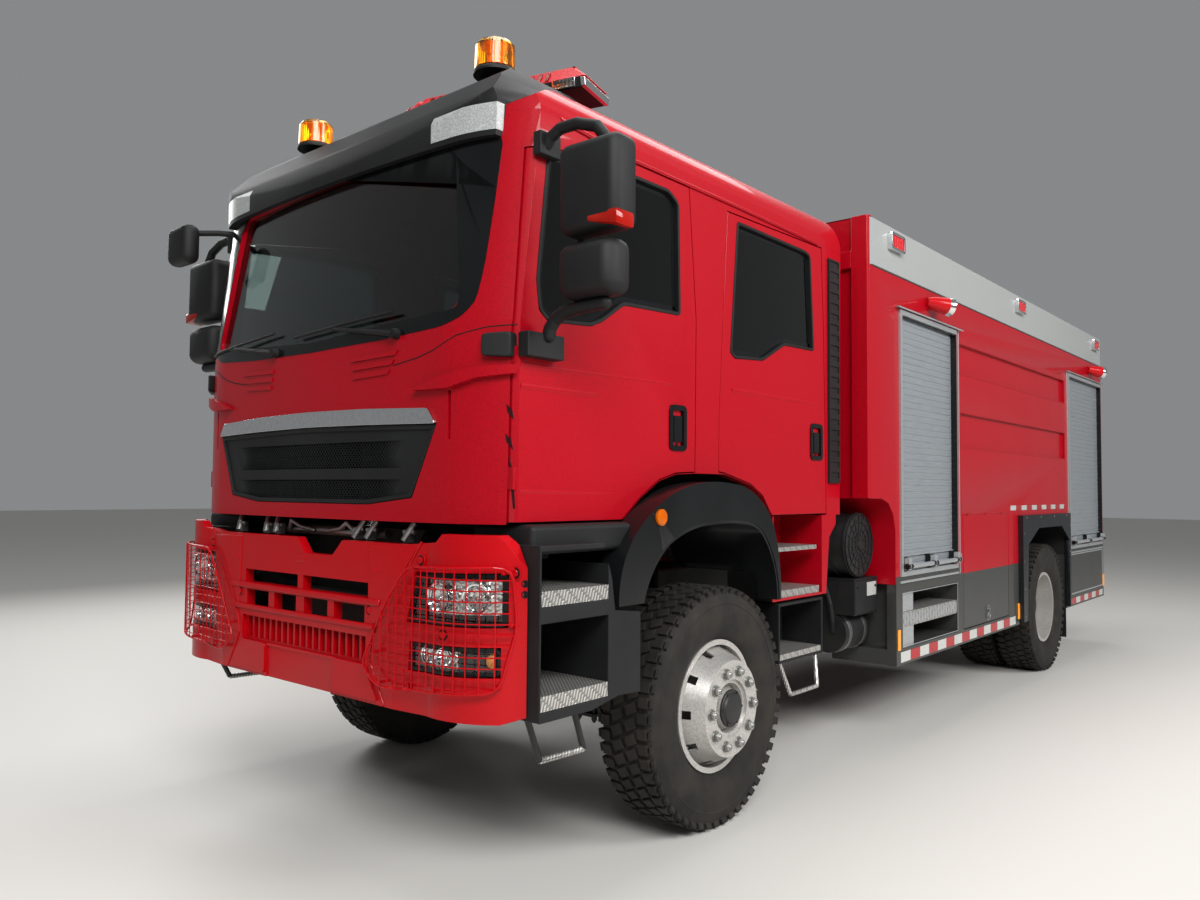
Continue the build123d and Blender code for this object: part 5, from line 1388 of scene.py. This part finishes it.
piece("battery_cover", grained_black, ease=6)
slab((1136, 1137.5), (1640, 1766), (905, 985))
piece("blank_label", silver_tape)
for y in (1540, 1740):
    turned((960, y, 690), (0, 1, 0), [(-18, 119), (-18, 124), (18, 124), (18, 119)], 40)
for y in (2080, 2640):
    slab((-1046, -1040), (y - 22, y + 22), (600, 890))
    slab((-1030, -640), (y - 22, y + 22), (899, 905))
piece("tank_straps", zinc, ease=1)
wire([(960, 1800, 690), (980, 1838, 700), (1010, 1842, 760), (1000, 1830, 850)], 12, 10)
wire([(1000, 1470, 700), (1010, 1446, 760), (1000, 1440, 860), (960, 1455, 960), (930, 1480, 1000)], 14, 10)
wire([(820, 1460, 1207), (780, 1420, 1190), (700, 1400, 1120), (560, 1380, 1060)], 34, 14)
piece("rail_hoses", seal_rubber)
print("side equipment dressed")


# %% [markdown]
# ## Axles and rails
# U-bolts clamp the springs over the axles. Dampers, air chambers and a cross rod complete the axles; all
# of them are turned or bent round bars. Bolt heads and two air pipes run along the rails.

# %% Clamps, dampers and pipes
def u_bolts(x, y, low, high):
    """Two U-bolts over an axle with their nuts and plate."""
    for dy in (-72, 72):
        bolt = [(x - 50, low), (x - 50, high), (x + 50, high), (x + 50, low)]
        wire([(across, y + dy, up) for across, up in bolt], 9, 8)
    for dx in (-50, 50):
        for dy in (-72, 72):
            bar((x + dx, y + dy, low + 4), (x + dx, y + dy, low + 22), 15, 6)
    slab((x - 66, x + 66), (y - 92, y + 92), (low + 22, low + 38))


for way in (1, -1):
    u_bolts(way * 430, 0, 372, 668)
    u_bolts(way * 430, REAR_Y, 430, 712)
    bar((way * 560, -140, 480), (way * 500, -230, 900), 30, 20)
    bar((way * 560, -140, 480), (way * 572, -122, 420), 14, 12)
    bar((way * 600, 5190, 480), (way * 540, 5290, 900), 30, 20)
bar((-700, 190, 470), (700, 190, 470), 17, 14)
for way in (1, -1):
    chamber = [(-70, 0.5), (-70, 66), (-10, 78), (0, 84), (8, 84), (12, 74), (80, 66), (80, 0.5)]
    turned((way * 560, 4830, 640), (0, 1, 0.1), chamber, 28)
    chamber = [(-50, 0.5), (-50, 60), (0, 72), (8, 72), (50, 58), (50, 0.5)]
    turned((way * 560, 130, 640), (0, 1, 0.1), chamber, 28)
piece("axle_fittings", chassis_black, ease=1.2)
for x in (-300, -150, 0, 150, 300):
    for y in (1240, 2460, 3660, 4560, 5660):
        bar((x, y - 60.5, 1000), (x, y - 64, 1000), 12, 6)
for way in (1, -1):
    for y in range(1600, 6900, 420):
        for z in (820, 960):
            bar((way * 472, y, z), (way * 482, y, z), 13, 6)
piece("rail_bolts", zinc)
wire([(300, 700, 930), (240, 1300, 940), (260, 2300, 930), (260, 4600, 930)], 13, 8)
wire([(330, 700, 900), (300, 1300, 905), (300, 2300, 900), (300, 4700, 900)], 9, 8)
for way in (1, -1):
    wire([(way * 330, 4700, 900), (way * 420, 4760, 800), (way * 540, 4780, 700)], 9, 8)
piece("air_pipes", seal_rubber)
print("axles dressed")


# %% [markdown]
# ## Steps
# A row of small upright ribs stands along the outer edge of each tread of the front steps.

# %% Tread lips
for z in (1105, 738):
    for k in range(11):
        slab((1186, 1193), (-1212 + k * 34, -1196 + k * 34), (z + 6, z + 40))
pair("tread_lips", frame_alloy, ease=1)
print("steps dressed")


# %% [markdown]
# ## Seats
# A seat cushion is foam under stretched cloth: it crowns in the middle and pulls in at its seams. Each
# pad starts as its plain block, a little small, is remeshed to an even net and blown up as cloth, with
# its swelling capped.

# %% Padded seats
def weave(name, dark, light):
    """A plain weave: two crossed sets of waves give the threads, and a slow noise the wear."""
    material, where = finish_base(name, light, 0.85)
    threads = [add(material, "ShaderNodeTexWave", {"Vector": where, "Scale": 160.0}, bands_direction=axis)
               for axis in "XZ"]
    crossed = add(material, "ShaderNodeMath", {i: t.outputs["Fac"] for i, t in enumerate(threads)},
                  operation="MULTIPLY")
    relief(material, crossed.outputs["Value"], 0.6, 0.0008)
    two_tone(material, noise(material, where, 6.0, 5.0), dark, light)
    return material


seat_weave = weave("woven seat cloth grey", "#26282B", "#34373B")
PADS = [  # name, x range, y range, z range, swelling in mm
    ("cushion_left", (262, 748), (-582, -92), (1896, 1998), 16),
    ("cushion_right", (-748, -262), (-582, -92), (1896, 1998), 16),
    ("backrest_left", (262, 748), (-72, 42), (1906, 2604), 16),
    ("backrest_right", (-748, -262), (-72, 42), (1906, 2604), 16),
    ("bench_cushion", (-972, 972), (732, 1150), (1758, 1862), 14),
    ("bench_back", (-972, 972), (1156, 1340), (1886, 2466), 12)]


def blown_pad(name, x, y, z, swell):
    """One cushion from a block: even net, air pressure, capped movement."""
    slab(x, y, z)
    bmesh.ops.bevel(bm, geom=bm.edges[:], offset=0.028, segments=3, profile=0.5, affect="EDGES", material=-1)
    mesh = bpy.data.meshes.new(name)
    bm.to_mesh(mesh)
    bm.clear()
    pad = bpy.data.objects.new(name, mesh)
    bpy.context.scene.collection.objects.link(pad)
    bpy.context.view_layer.objects.active = pad
    net = pad.modifiers.new("net", "REMESH")
    net.mode = "VOXEL"
    net.voxel_size = 0.022
    bake(pad)
    start = [v.co.copy() for v in pad.data.vertices]
    cloth = pad.modifiers.new("air", "CLOTH")
    cloth.settings.use_pressure = True
    cloth.settings.uniform_pressure_force = 4.0
    cloth.settings.effector_weights.gravity = 0.0
    for frame_number in range(1, 15):
        bpy.context.scene.frame_set(frame_number)
    bake(pad)
    bpy.context.scene.frame_set(1)
    for vertex, home in zip(pad.data.vertices, start):
        moved = vertex.co - home
        if moved.length > swell / 1000:
            vertex.co = home + moved.normalized() * swell / 1000
    finer = pad.modifiers.new("finer", "SUBSURF")
    finer.levels = finer.render_levels = 1
    pad.data.materials.clear()
    pad.data.materials.append(seat_weave)
    pad.data.shade_smooth()
    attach(pad, "cab")
    return pad


def bake(pad):
    """Turns the piece's modifiers into plain mesh."""
    done = bpy.data.meshes.new_from_object(pad.evaluated_get(bpy.context.evaluated_depsgraph_get()))
    pad.modifiers.clear()
    pad.data = done


pads = [blown_pad(*row) for row in PADS]
print("pads:", [len(p.data.vertices) for p in pads])

# %% Seat frames and belts
for way in (1, -1):
    slab((way * 256, way * 754), (-560, -62), (1680.5, 1884))
    slab((way * 262, way * 748), (46, 50), (1900, 2600))
    slab((way * 246, way * 256), (-500, -120), (1880, 1950))
slab((-980, 980), (762, 1176), (1445, 1748))
piece("seat_frames", dash_vinyl, "cab", ease=12, replaces=("seats",))
for way in (1, -1):
    slab((way * 300, way * 348), (-96, -92), (2010, 2560))
    slab((way * 780, way * 784), (-60, -20), (1900, 2500))
for x in (-640, 0, 640):
    slab((x - 24, x + 24), (1136, 1139), (1890, 2440))
piece("seat_belts", seal_rubber, "cab", ease=1)


# %% [markdown]
# ## Dash and wheel
# The dash carries a hood over the dials, a row of round vents, and the column's stalks. The steering
# wheel has a soft rim over a steel ring and a padded boss.

# %% Dash fittings
slab((300, 700), (-1075, -930), (2058, 2110))
for x in (-850, -560, -120, 180, 860):
    turned((x, -872, 2000), (0, 0.8, 0.6), [(0, 28), (0, 40), (16, 40), (16, 28)], 28)
    for k in (-14, 0, 14):
        slab((x - 26, x + 26), (-870, -862), (1998 + k, 2003 + k))
for way in (1, -1):
    bar((500, -900, 2060), (500 + way * 170, -880, 2080), 7, 10)
bar((180, -700, 1690), (170, -690, 2010), 9, 10)
bmesh.ops.create_uvsphere(bm, u_segments=20, v_segments=12, radius=0.026,
                          matrix=Matrix.Translation(place(170, -690, 2020)))
piece("dash_fittings", grained_black, "cab", ease=3)
turned((500, -850, 2130), (0, 250, 275), [(0, 0.5), (0, 66), (18, 66), (34, 52), (38, 0.5)], 32)
piece("horn_pad", dash_vinyl, "steering_wheel", ease=3)
print("interior fitted")


# %% [markdown]
# ## Studio
# The truck stands on a plain pale floor under broad soft lamps. The world gives an even fill, and the
# lamps shape the panels as the roof lights of the hall do in the photograph.

# %% Floor and lamps
def soft_lamp(name, at, aim, size, power):
    """A rectangular lamp at a point in metres, aimed at another; power in watts."""
    lamp = bpy.data.lights.new(name, "AREA")
    lamp.shape = "RECTANGLE"
    lamp.size, lamp.size_y = size
    lamp.energy = power
    holder = bpy.data.objects.new(name, lamp)
    holder.location = at
    holder.rotation_euler = (Vector(aim) - Vector(at)).to_track_quat("-Z", "Y").to_euler()
    bpy.context.scene.collection.objects.link(holder)


bmesh.ops.create_grid(bm, x_segments=2, y_segments=2, size=60.0)
floor_mesh = bpy.data.meshes.new("studio_floor")
bm.to_mesh(floor_mesh)
bm.free()
floor = bpy.data.objects.new("studio_floor", floor_mesh)
floor_mesh.materials.append(finish_base("pale studio floor", "#C9C7C2", 0.6)[0])
bpy.context.scene.collection.objects.link(floor)

world = bpy.data.worlds.new("studio air")
bpy.context.scene.world = world
world.use_nodes = True
sky = world.node_tree.nodes["Background"].inputs
sky["Color"].default_value = linear("#D6D8DA")
sky["Strength"].default_value = 0.36
soft_lamp("key", (7.5, -8.5, 7.5), (0, -2.0, 1.2), (6.0, 4.0), 1080)
soft_lamp("side", (10.0, 0.5, 6.5), (0, 1.0, 1.5), (6.0, 3.0), 820)
soft_lamp("roof strip", (0.0, 0.0, 9.0), (0, 0, 0), (3.0, 12.0), 520)
soft_lamp("far side", (-8.5, -1.5, 6.0), (0, -1.0, 1.5), (5.0, 4.0), 420)
print("studio lit")
